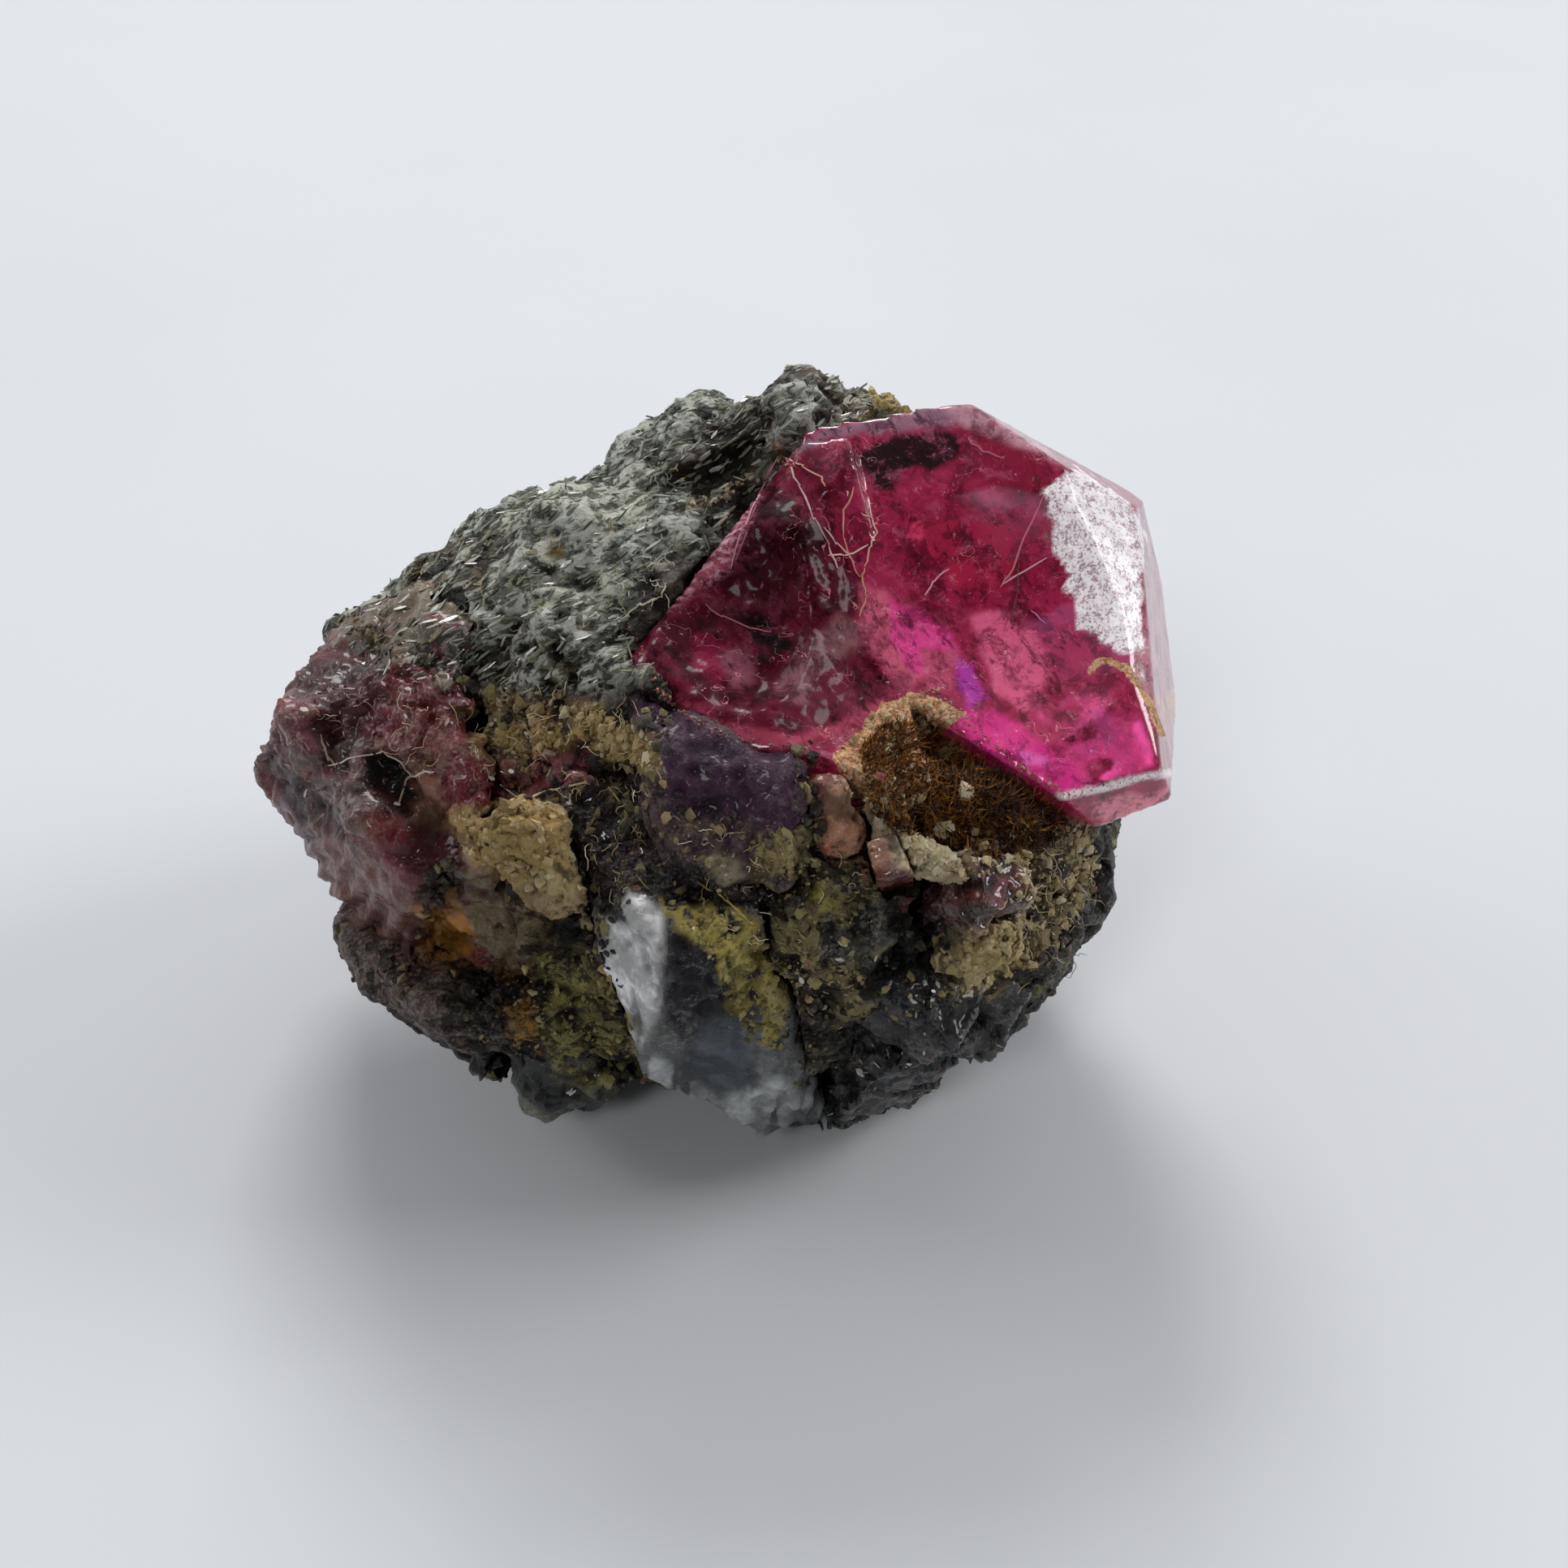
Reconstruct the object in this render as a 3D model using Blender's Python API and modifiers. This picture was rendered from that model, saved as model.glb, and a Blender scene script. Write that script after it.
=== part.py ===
"""A rough sapphire crystal on its dark rock matrix: a mineral specimen about 13 mm wide.

Frame: +X to the right and +Y to the back as the specimen is looked at, +Z up. The origin is on the surface
that the specimen rests on, under the middle of its bounding box. Every shape is modelled with one Blender
unit to the millimetre, and the finished pieces are shrunk to metres at the end.
"""

import bmesh
import bpy
from mathutils import Euler, Matrix, Vector
from math import radians

# Driving dimensions, mm
SEAT_GAP = 0.06  # room between a crystal and the socket it grew in
BLOCK = 30.0  # side of the block that a crystal's faces are cut from
ROCK_GRAIN = 0.34  # size of the facets that the rock's surface is made of
SMALL_GRAIN = 0.2  # the same on crusts and clay
ROCK_TRIANGLES = 4700
CRUST_RELIEF = 0.16  # height of the bumps on crusts and clay
CRUST_BUMPS = [("CLOUDS", 0.5, CRUST_RELIEF)]  # pattern, size of a bump, height
ROCK_BUMPS = [("CLOUDS", 1.6, 0.7), ("VORONOI", 0.9, 0.35)]
CRUST_SOCKET_TRIANGLES = 260
METRES_PER_UNIT = 0.001

# Rock lumps: name, centre, radii, turn in degrees about X, Y and Z
MATRIX_LUMPS = [
    ("body", (-0.2, 0.3, 3.45), (4.9, 4.2, 4.35), (0, 0, 0)),
    ("left_shoulder", (-3.7, 0.6, 4.3), (2.5, 2.8, 2.5), (0, 20, 10)),
    ("mossy_roof", (-2.2, 1.0, 6.0), (2.9, 2.4, 1.9), (0, -24, 0)),
    ("roof_rim", (-0.6, 1.9, 6.9), (1.7, 1.3, 1.3), (0, -10, 0)),
    ("mica_crest", (1.0, 2.5, 8.4), (1.05, 0.85, 1.0), (0, 0, 20)),
    ("crest_left", (0.0, 2.7, 7.5), (1.4, 1.2, 1.2), (0, -15, 0)),
    ("crest_right", (2.2, 2.9, 7.7), (1.1, 0.9, 1.0), (0, 10, 0)),
    ("crest_back", (1.2, 3.1, 6.7), (2.2, 1.3, 1.6), (0, 0, 0)),
    ("right_foot", (3.1, -0.5, 3.1), (2.5, 3.0, 3.1), (0, 12, 0)),
    ("front_apron", (0.7, -2.3, 3.5), (3.5, 2.0, 3.1), (12, 0, 0)),
    ("left_keel", (-2.9, -1.8, 2.9), (2.35, 2.1, 2.5), (0, 24, 0)),
    ("back_slope", (0.8, 2.2, 3.7), (3.8, 2.3, 3.4), (0, 0, 0)),
]
BLACK_BLOCKS = [
    ("heel", (2.15, -3.0, 1.95), (0.8, 0.8, 1.0), (20, 15, 30)),
    ("step", (3.0, -2.7, 2.85), (0.85, 0.75, 0.8), (-15, 25, 10)),
    ("corner", (3.85, -2.0, 3.3), (0.6, 0.75, 0.65), (30, -10, 40)),
    ("blade", (2.2, -3.4, 3.3), (0.8, 0.6, 1.1), (10, 30, -20)),
]
RED_SLIVER_BLOCKS = [("sliver", (2.1, -3.45, 5.8), (0.2, 0.25, 0.5), (30, -15, 10))]
RED_GRAIN_BLOCKS = [
    ("upper", (3.35, -3.45, 5.4), (0.42, 0.35, 0.4), (35, 20, 25)),
    ("lower", (3.0, -3.5, 5.15), (0.35, 0.35, 0.35), (10, 40, -20)),
]
POCKET_HOLLOW = [("hollow", (2.95, -2.85, 6.35), (1.25, 0.85, 0.8), (0, 18, 0))]
POCKET_CRUST_LUMPS = [
    ("floor", (2.95, -2.35, 5.8), (1.1, 0.6, 0.55), (0, 18, 0)),
    ("left_knob", (2.45, -2.6, 6.35), (0.4, 0.35, 0.4), (0, 0, 0)),
    ("mid_knob", (3.05, -2.75, 5.95), (0.45, 0.35, 0.35), (0, 0, 0)),
    ("right_knob", (3.65, -2.7, 5.7), (0.5, 0.4, 0.4), (0, 0, 0)),
]
CREAM_RIM_LUMPS = [
    ("left", (2.0, -3.0, 6.35), (0.3, 0.35, 0.55), (0, 0, 0)),
    ("low_left", (2.35, -3.4, 5.85), (0.4, 0.3, 0.35), (0, 0, 0)),
    ("low", (2.95, -3.45, 5.65), (0.45, 0.3, 0.3), (0, 0, 0)),
    ("low_right", (3.55, -3.3, 5.6), (0.45, 0.3, 0.3), (0, 0, 0)),
    ("right", (4.15, -3.05, 5.6), (0.4, 0.35, 0.4), (0, 0, 0)),
]
CREAM_LEFT_LUMPS = [
    ("upper", (-2.4, -3.3, 6.1), (0.8, 0.45, 0.6), (0, 0, 0)),
    ("lower", (-2.0, -3.5, 5.35), (0.55, 0.4, 0.55), (0, 0, 0)),
]
CREAM_KNOB_LUMPS = [
    ("left", (3.0, -3.65, 4.35), (0.4, 0.35, 0.4), (0, 0, 0)),
    ("right", (3.5, -3.55, 4.5), (0.4, 0.35, 0.35), (0, 0, 0)),
]
FLESH_LUMPS = [
    ("upper", (1.3, -2.95, 6.55), (0.4, 0.3, 0.35), (0, 0, 0)),
    ("lower", (1.5, -3.2, 6.1), (0.35, 0.3, 0.4), (0, 0, 0)),
]
GREY_BULGE_LUMPS = [
    ("bulge", (-2.3, -3.1, 1.35), (0.95, 0.85, 0.85), (0, 0, 0)),
    ("root", (-2.6, -2.9, 2.1), (0.8, 0.8, 0.9), (0, 0, 0)),
]

# Clay, feldspar and crusts: name, lumps, triangles that the surface may have
CRUSTS = [
    ("pocket_crust", POCKET_CRUST_LUMPS, 420),
    ("flesh_feldspar", FLESH_LUMPS, 200),
    ("cream_rim", CREAM_RIM_LUMPS, 320),
    ("cream_left", CREAM_LEFT_LUMPS, 300),
    ("cream_knob", CREAM_KNOB_LUMPS, 200),
    ("grey_bulge", GREY_BULGE_LUMPS, 360),
]

# Faces of the crystals: name, a point on the face, the way it looks
RIGHT_LOBE_FACES = [
    ("window", (4.2, -2.45, 6.1), (0.0, -0.56, 0.83)),
    ("etched_face", (4.87, 0.04, 7.76), (0.5, -0.37, 0.78)),
    ("right_face", (5.54, 0.17, 7.41), (0.93, -0.16, 0.33)),
    ("top_bevel", (3.77, 1.65, 8.86), (0.5, 0.25, 0.83)),
    ("back_right", (5.7, 2.4, 6.6), (0.55, 0.8, 0.2)),
    ("back", (3.0, 1.95, 9.0), (-0.15, 0.97, -0.1)),
    ("back_under", (5.6, 1.5, 5.3), (0.35, 0.55, -0.75)),
    ("pocket_side", (3.6, -2.12, 6.32), (-0.55, -0.6, -0.6)),
    ("lower_front", (4.9, -2.35, 5.9), (0.3, -0.95, -0.1)),
    ("underside", (4.7, -1.8, 5.15), (0.3, -0.25, -0.92)),
    ("root", (0.9, 0.0, 6.5), (-1.0, 0.1, 0.0)),
]
RIGHT_LOBE_SHOWS = ("window", "etched_face", "right_face", "top_bevel")
LEFT_LOBE_FACES = [
    ("bowl_side", (1.13, -2.64, 7.06), (-0.15, -0.44, 0.9)),
    ("striated_side", (-0.3, -0.48, 7.87), (-0.66, 0.09, 0.74)),
    ("upper_left", (-1.13, -1.2, 7.76), (-0.75, 0.6, 0.06)),
    ("left_edge", (-0.57, -1.8, 7.2), (-0.65, -0.76, 0.07)),
    ("lower_front", (0.9, -2.68, 7.0), (-0.1, -0.98, -0.1)),
    ("ridge_side", (2.0, -1.3, 7.85), (0.95, 0.0, 0.3)),
    ("back", (0.8, 1.5, 8.0), (0.0, 0.95, 0.3)),
    ("underside", (0.6, -1.0, 5.9), (-0.1, -0.2, -0.97)),
]
LEFT_LOBE_SHOWS = ("bowl_side", "striated_side")
# Shell-like breaks in the crystal: name, where the bowl is deepest before it is cut, radius, depth, look
BOWLS = [
    ("left_bowl", (0.43, -1.0, 7.74), 2.2, 0.45, (-0.15, -0.44, 0.9)),
    ("lip_bowl", (1.24, -2.02, 7.37), 1.2, 0.25, (-0.15, -0.44, 0.9)),
    ("window_bowl", (3.57, -0.54, 7.4), 5.0, 0.35, (0.0, -0.56, 0.83)),
]
LEFT_CRYSTAL_FACES = [
    ("top", (-4.8, -0.6, 6.55), (-0.4, 0.1, 0.9)),
    ("front", (-4.3, -1.8, 6.05), (-0.25, -0.62, 0.74)),
    ("rough_face", (-5.0, -2.0, 4.3), (-0.72, -0.69, 0.05)),
    ("low_front", (-3.9, -2.9, 4.7), (-0.1, -0.98, -0.15)),
    ("left_tip_up", (-6.0, 0.9, 5.6), (-0.85, 0.08, 0.52)),
    ("left_tip_down", (-5.9, -0.8, 3.3), (-0.79, -0.45, -0.42)),
    ("back", (-4.5, 1.9, 5.0), (-0.4, 0.9, 0.1)),
    ("right", (-3.1, -1.5, 6.0), (0.95, 0.0, 0.2)),
    ("underside", (-4.4, -1.0, 2.9), (0.0, -0.2, -0.98)),
]
LEFT_CRYSTAL_SHOWS = ("front", "low_front", "rough_face", "left_tip_up", "left_tip_down")
VIOLET_FACES = [
    ("front", (0.25, -3.2, 6.45), (-0.1, -0.8, 0.6)),
    ("left", (-0.7, -3.0, 6.3), (-0.9, -0.35, 0.2)),
    ("right", (1.0, -3.0, 6.3), (0.9, -0.35, 0.2)),
    ("top", (0.2, -2.2, 7.0), (0.0, -0.1, 1.0)),
    ("back", (0.2, -1.6, 6.3), (0.0, 1.0, 0.0)),
    ("foot", (0.2, -3.3, 5.6), (0.0, -0.3, -0.95)),
]
VIOLET_SHOWS = ("front",)
CLEAR_FACES = [
    ("front", (-0.25, -4.55, 4.5), (0.0, -0.99, -0.14)),
    ("front_left", (-1.1, -4.2, 4.3), (-0.75, -0.65, 0.1)),
    ("front_right", (0.5, -4.3, 3.6), (0.6, -0.8, 0.1)),
    ("left", (-1.4, -3.6, 4.3), (-0.95, 0.1, -0.3)),
    ("foot_left", (-0.3, -4.1, 1.85), (-0.75, -0.1, -0.65)),
    ("right", (0.95, -3.6, 3.0), (0.97, 0.1, 0.2)),
    ("back", (0.0, -2.4, 3.8), (0.0, 1.0, 0.0)),
    ("head", (-0.8, -3.9, 5.65), (0.1, -0.35, 0.92)),
    ("foot", (0.4, -3.9, 0.85), (0.2, -0.3, -0.93)),
]
CLEAR_SHOWS = ("front", "front_left", "front_right")


def material(name, color, roughness, transmission=0.0, ior=1.5):
    """A Principled material in the piece's own colour."""
    finish = bpy.data.materials.new(name)
    finish.use_nodes = True
    shader = finish.node_tree.nodes["Principled BSDF"]
    shader.inputs["Base Color"].default_value = (*color, 1.0)
    shader.inputs["Roughness"].default_value = roughness
    shader.inputs["Metallic"].default_value = 0.0
    shader.inputs["Transmission Weight"].default_value = transmission
    shader.inputs["IOR"].default_value = ior
    finish.diffuse_color = (*color, 1.0)
    return finish


def cut_block(faces, grow=0.0):
    """A block with everything outside each face cut away, and each face moved out by grow."""
    middle = sum((Vector(point) for _, point, _ in faces), Vector()) / len(faces)
    form = bmesh.new()
    bmesh.ops.create_cube(form, size=BLOCK, matrix=Matrix.Translation(middle))
    for _, point, look in faces:
        normal = Vector(look).normalized()
        everything = form.verts[:] + form.edges[:] + form.faces[:]
        cut = bmesh.ops.bisect_plane(
            form, geom=everything, plane_co=Vector(point) + normal * grow, plane_no=normal, clear_outer=True
        )
        rim = [item for item in cut["geom_cut"] if isinstance(item, bmesh.types.BMEdge)]
        bmesh.ops.contextual_create(form, geom=rim)
    bmesh.ops.recalc_face_normals(form, faces=form.faces)
    return form


def heap(lumps, grow=0.0):
    """Overlapping ellipsoids, each moved out by grow."""
    form = bmesh.new()
    for _, centre, radii, turn in lumps:
        place = Matrix.Translation(centre) @ Euler([radians(angle) for angle in turn]).to_matrix().to_4x4()
        size = Matrix.Diagonal((*[radius + grow for radius in radii], 1.0))
        bmesh.ops.create_icosphere(form, subdivisions=3, radius=1.0, matrix=place @ size)
    return form


def add_object(name, form, group):
    """An object made from a bmesh, put in its collection."""
    mesh = bpy.data.meshes.new(name)
    form.to_mesh(mesh)
    form.free()
    piece = bpy.data.objects.new(name, mesh)
    group.objects.link(piece)
    return piece


def bake(piece):
    """The object's modifiers turned into its mesh."""
    scene_state = bpy.context.evaluated_depsgraph_get()
    finished = bpy.data.meshes.new_from_object(piece.evaluated_get(scene_state))
    piece.modifiers.clear()
    piece.data = finished


def rough(piece, grain, clouds, triangles):
    """Melt the lumps into one stone and roughen its surface."""
    melt = piece.modifiers.new("melt", "REMESH")
    melt.mode = "VOXEL"
    melt.voxel_size = grain
    for index, (kind, size, height) in enumerate(clouds):
        texture = bpy.data.textures.new(f"{piece.name}_{index}", kind)
        texture.noise_scale = size
        relief = piece.modifiers.new(f"relief_{index}", "DISPLACE")
        relief.texture = texture
        relief.texture_coords = "LOCAL"
        relief.strength = height
        relief.mid_level = 0.5
    bake(piece)
    thin = piece.modifiers.new("thin", "DECIMATE")
    thin.ratio = min(1.0, triangles / (2.0 * len(piece.data.polygons)))
    bake(piece)


def boolean(piece, tools, operation):
    """Join or cut a piece with each of the tools."""
    for tool in tools:
        step = piece.modifiers.new("step", "BOOLEAN")
        step.object = tool
        step.operation = operation
        step.solver = "EXACT"
        bake(piece)


def keep_largest(piece):
    """Drop the loose crumbs that cutting leaves, found by walking from face to face over the edges."""
    form = bmesh.new()
    form.from_mesh(piece.data)
    bmesh.ops.triangulate(form, faces=form.faces)
    unseen = set(form.faces)
    islands = []
    while unseen:
        front = [unseen.pop()]
        island = list(front)
        while front:
            for edge in front.pop().edges:
                for other in edge.link_faces:
                    if other in unseen:
                        unseen.remove(other)
                        front.append(other)
                        island.append(other)
        islands.append(island)
    islands.sort(key=len)
    for island in islands[:-1]:
        bmesh.ops.delete(form, geom=island, context="FACES")
    form.to_mesh(piece.data)
    form.free()


def flatten_base(piece):
    """Break the stone off flat at the surface it rests on."""
    form = bmesh.new()
    form.from_mesh(piece.data)
    everything = form.verts[:] + form.edges[:] + form.faces[:]
    cut = bmesh.ops.bisect_plane(form, geom=everything, plane_co=(0, 0, 0), plane_no=(0, 0, -1), clear_outer=True)
    rim = [item for item in cut["geom_cut"] if isinstance(item, bmesh.types.BMEdge)]
    bmesh.ops.edgeloop_fill(form, edges=rim)
    bmesh.ops.recalc_face_normals(form, faces=form.faces)
    form.to_mesh(piece.data)
    form.free()


def blocks(forms, grow=0.0):
    """Turned bricks that overlap, as cleavage breaks a black crystal: each moved out by grow."""
    form = bmesh.new()
    for _, centre, halves, turn in forms:
        place = Matrix.Translation(centre) @ Euler([radians(angle) for angle in turn]).to_matrix().to_4x4()
        size = Matrix.Diagonal((*[2.0 * (half + grow) for half in halves], 1.0))
        bmesh.ops.create_cube(form, size=1.0, matrix=place @ size)
    return form


def bowl_cutter(name, deepest, radius, depth, look, group):
    """A ball placed so that it scoops a bowl of the given depth out of a face."""
    form = bmesh.new()
    centre = Vector(deepest) + Vector(look).normalized() * (radius - depth)
    bmesh.ops.create_icosphere(form, subdivisions=5, radius=radius, matrix=Matrix.Translation(centre))
    return add_object(name, form, group)


def crust_socket(name, lumps, group):
    """The smooth hollow that a rough crust sits in: its lumps, melted together and slightly larger."""
    socket = add_object(name, heap(lumps, SEAT_GAP + CRUST_RELIEF / 2), group)
    rough(socket, SMALL_GRAIN, [], CRUST_SOCKET_TRIANGLES)
    return socket


def settle(everything):
    """Shrink to metres and centre the bounding box over the origin."""
    corners = [vertex.co for piece in everything for vertex in piece.data.vertices]
    middle_x = (min(corner.x for corner in corners) + max(corner.x for corner in corners)) / 2
    middle_y = (min(corner.y for corner in corners) + max(corner.y for corner in corners)) / 2
    to_metres = Matrix.Scale(METRES_PER_UNIT, 4) @ Matrix.Translation((-middle_x, -middle_y, 0.0))
    for piece in everything:
        piece.data.transform(to_metres)
    print(f"the middle was at {middle_x:.4f}, {middle_y:.4f} mm")


def build():
    """Model every piece, cut each one's socket into what it grew on, then shrink all to metres."""
    for old in list(bpy.data.objects):
        bpy.data.objects.remove(old)
    pieces = bpy.data.collections.new("sapphire_crystal_specimen")
    cutters = bpy.data.collections.new("cutters")
    for group in (pieces, cutters):
        bpy.context.scene.collection.children.link(group)

    # The pink crystal: two lobes grown together, with shell-like breaks in them
    sapphire = add_object("sapphire_crystal", cut_block(RIGHT_LOBE_FACES), pieces)
    left_lobe = add_object("left_lobe", cut_block(LEFT_LOBE_FACES), cutters)
    boolean(sapphire, [left_lobe], "UNION")
    boolean(sapphire, [bowl_cutter(*bowl, cutters) for bowl in BOWLS], "DIFFERENCE")
    sockets = []
    openings = []
    for name, faces, shows in [("right_lobe", RIGHT_LOBE_FACES, RIGHT_LOBE_SHOWS),
                               ("left_lobe", LEFT_LOBE_FACES, LEFT_LOBE_SHOWS)]:
        sockets.append(add_object(f"{name}_socket", cut_block(faces, SEAT_GAP), cutters))
        buried = [face for face in faces if face[0] not in shows]
        openings.append(add_object(f"{name}_opening", cut_block(buried, SEAT_GAP), cutters))

    # The other crystals, each cut clear of those made before it
    rock_cutters = []
    for name, faces, shows in [("left_crystal", LEFT_CRYSTAL_FACES, LEFT_CRYSTAL_SHOWS),
                               ("clear_crystal", CLEAR_FACES, CLEAR_SHOWS),
                               ("violet_crystal", VIOLET_FACES, VIOLET_SHOWS)]:
        crystal = add_object(name, cut_block(faces), pieces)
        boolean(crystal, sockets, "DIFFERENCE")
        keep_largest(crystal)
        sockets.append(add_object(f"{name}_socket", cut_block(faces, SEAT_GAP), cutters))
        buried = [face for face in faces if face[0] not in shows]
        openings.append(add_object(f"{name}_opening", cut_block(buried, SEAT_GAP), cutters))
    for name, bricks in [("black_crystal", BLACK_BLOCKS), ("red_sliver", RED_SLIVER_BLOCKS),
                         ("red_grain", RED_GRAIN_BLOCKS)]:
        crystal = add_object(name, blocks(bricks[:1]), pieces)
        socket = add_object(f"{name}_socket", blocks(bricks[:1], SEAT_GAP), cutters)
        for brick in bricks[1:]:
            boolean(crystal, [add_object(f"{name}_{brick[0]}", blocks([brick]), cutters)], "UNION")
            boolean(socket, [add_object(f"{name}_{brick[0]}", blocks([brick], SEAT_GAP), cutters)], "UNION")
        boolean(crystal, sockets, "DIFFERENCE")
        keep_largest(crystal)
        sockets.append(socket)
        rock_cutters.append(socket)

    # Clay, feldspar and iron crust
    for name, lumps, triangles in CRUSTS:
        crust = add_object(name, heap(lumps), pieces)
        rough(crust, SMALL_GRAIN, CRUST_BUMPS, triangles)
        socket = crust_socket(f"{name}_socket", lumps, cutters)
        boolean(crust, sockets, "DIFFERENCE")
        keep_largest(crust)
        sockets.append(socket)
        rock_cutters.append(socket)

    # The rock
    matrix = add_object("matrix", heap(MATRIX_LUMPS), pieces)
    rough(matrix, ROCK_GRAIN, ROCK_BUMPS, ROCK_TRIANGLES)
    hollow = add_object("pocket_hollow", heap(POCKET_HOLLOW), cutters)
    boolean(matrix, [hollow] + openings + rock_cutters, "DIFFERENCE")
    flatten_base(matrix)
    keep_largest(matrix)

    finishes = {
        "sapphire_crystal": material("pink_sapphire", (0.55, 0.02, 0.12), 0.05, 1.0, 1.76),
        "left_crystal": material("wine_ruby", (0.22, 0.02, 0.05), 0.3),
        "violet_crystal": material("violet_corundum", (0.12, 0.04, 0.2), 0.2),
        "clear_crystal": material("clear_quartz", (0.8, 0.85, 0.88), 0.05, 1.0, 1.54),
        "black_crystal": material("black_hornblende", (0.012, 0.012, 0.014), 0.25),
        "red_sliver": material("red_garnet", (0.2, 0.01, 0.015), 0.2),
        "flesh_feldspar": material("flesh_pink", (0.55, 0.28, 0.2), 0.55),
        "cream_rim": material("cream_clay", (0.68, 0.56, 0.36), 0.9),
        "grey_bulge": material("grey_quartz", (0.2, 0.22, 0.2), 0.2),
        "pocket_crust": material("iron_ochre", (0.32, 0.14, 0.02), 0.95),
        "matrix": material("dark_rock", (0.06, 0.065, 0.05), 0.7),
    }
    same_as = {"red_grain": "red_sliver", "cream_left": "cream_rim", "cream_knob": "cream_rim"}
    for piece in pieces.objects:
        piece.data.materials.clear()
        piece.data.materials.append(finishes[same_as.get(piece.name, piece.name)])
    for cutter in cutters.objects:
        cutter.hide_render = True
        cutter.display_type = "WIRE"
    settle(list(pieces.objects))


build()
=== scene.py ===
# %% [markdown]
# # A rough pink sapphire on its rock
#
# This lesson dresses the solid model of a mineral specimen, 14 mm long: a transparent pink-red sapphire
# that grew on dark, micaceous rock, with smaller red, violet, clear and black crystals, cream clay and a
# pocket of ochre around it. The solids give each piece its size and place. Here each one gets the surface
# that a magnifying glass shows: pits, ledges, shell-like breaks, powder, fibres and colour.

# %% Load the fixed frame
import math
import random

import bmesh
import bpy
from mathutils import Euler, Matrix, Vector, noise
from mathutils.bvhtree import BVHTree


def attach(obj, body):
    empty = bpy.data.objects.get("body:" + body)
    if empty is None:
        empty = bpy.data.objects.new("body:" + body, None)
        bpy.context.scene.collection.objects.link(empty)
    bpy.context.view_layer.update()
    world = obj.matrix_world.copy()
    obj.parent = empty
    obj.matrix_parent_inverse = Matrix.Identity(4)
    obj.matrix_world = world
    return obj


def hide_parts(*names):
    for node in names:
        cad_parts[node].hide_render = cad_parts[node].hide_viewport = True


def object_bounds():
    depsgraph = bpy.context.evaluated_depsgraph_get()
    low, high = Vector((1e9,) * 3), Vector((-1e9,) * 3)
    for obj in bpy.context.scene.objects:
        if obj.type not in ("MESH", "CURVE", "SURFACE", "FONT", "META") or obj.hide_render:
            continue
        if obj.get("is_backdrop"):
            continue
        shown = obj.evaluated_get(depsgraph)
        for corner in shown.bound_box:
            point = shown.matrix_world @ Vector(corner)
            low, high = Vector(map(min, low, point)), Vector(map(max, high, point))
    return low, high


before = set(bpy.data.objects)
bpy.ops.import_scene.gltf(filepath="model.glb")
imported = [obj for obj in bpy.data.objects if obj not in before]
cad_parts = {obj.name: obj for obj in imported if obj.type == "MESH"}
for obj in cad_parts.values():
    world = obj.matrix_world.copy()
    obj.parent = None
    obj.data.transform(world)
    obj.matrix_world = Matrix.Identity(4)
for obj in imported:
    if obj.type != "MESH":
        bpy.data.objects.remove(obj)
cad_low, cad_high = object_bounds()
PER_METRE = 1000.0  # the bench below works in millimetres, so that every number reads as a real size
print("solids:", ", ".join(sorted(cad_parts)))
print("size in mm:", [round((b - a) * PER_METRE, 2) for a, b in zip(cad_low, cad_high)])

# %% [markdown]
# ## The camera comes first
#
# The photograph was taken from close by: the lens is two centimetres above the surface and looks steeply
# down. A camera so near gives strong perspective, so the angle, the height and the focal length all matter.
# With the camera known, a pixel of the photograph is a ray, and where that ray meets a piece is a place on
# the specimen. Everything that is placed "where the photograph shows it" below uses this.

# %% Camera
PHOTO_SIDE = 1932  # px
FOCAL_PIXELS = 1935.0
SENSOR_WIDTH = 36.0  # mm
LOOK_DOWN = math.radians(42.4)
EYE = Vector((1.13, -17.01, 19.5))  # mm

camera_data = bpy.data.cameras.new("close_up")
camera_data.sensor_width = SENSOR_WIDTH
camera_data.lens = SENSOR_WIDTH * FOCAL_PIXELS / PHOTO_SIDE
camera_data.clip_start = 0.0005
camera_data.clip_end = 5.0
camera = bpy.data.objects.new("close_up", camera_data)
bpy.context.scene.collection.objects.link(camera)
camera.location = EYE / PER_METRE
camera.rotation_euler = (math.pi / 2 - LOOK_DOWN, 0.0, 0.0)
bpy.context.scene.camera = camera
print("lens:", round(camera_data.lens, 2), "mm")


def photo_ray(u, v):
    """The direction in which the camera sees a pixel of the photograph."""
    ahead = Vector((0.0, math.cos(LOOK_DOWN), -math.sin(LOOK_DOWN)))
    up = Vector((0.0, math.sin(LOOK_DOWN), math.cos(LOOK_DOWN)))
    middle = PHOTO_SIDE / 2
    across = Vector((1.0, 0.0, 0.0)) * (u - middle) / FOCAL_PIXELS
    return (ahead + across - up * (v - middle) / FOCAL_PIXELS).normalized()


def seen_at(place):
    """The pixel of the photograph at which the camera sees a place."""
    ahead = Vector((0.0, math.cos(LOOK_DOWN), -math.sin(LOOK_DOWN)))
    up = Vector((0.0, math.sin(LOOK_DOWN), math.cos(LOOK_DOWN)))
    offset = place - EYE
    depth = offset.dot(ahead)
    middle = PHOTO_SIDE / 2
    return middle + FOCAL_PIXELS * offset.x / depth, middle - FOCAL_PIXELS * offset.dot(up) / depth


# %% [markdown]
# ## A bench in millimetres
#
# Blender's remesh and bevel settings are made for things the size of a room. Each solid is therefore copied
# onto a "bench" where one unit is a millimetre. A copied solid is loose triangles, so its doubles are merged
# first. When a piece is finished it is shrunk back to metres, its place kept in its mesh.

# %% Bench tools
MERGE = 0.0005  # mm


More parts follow.
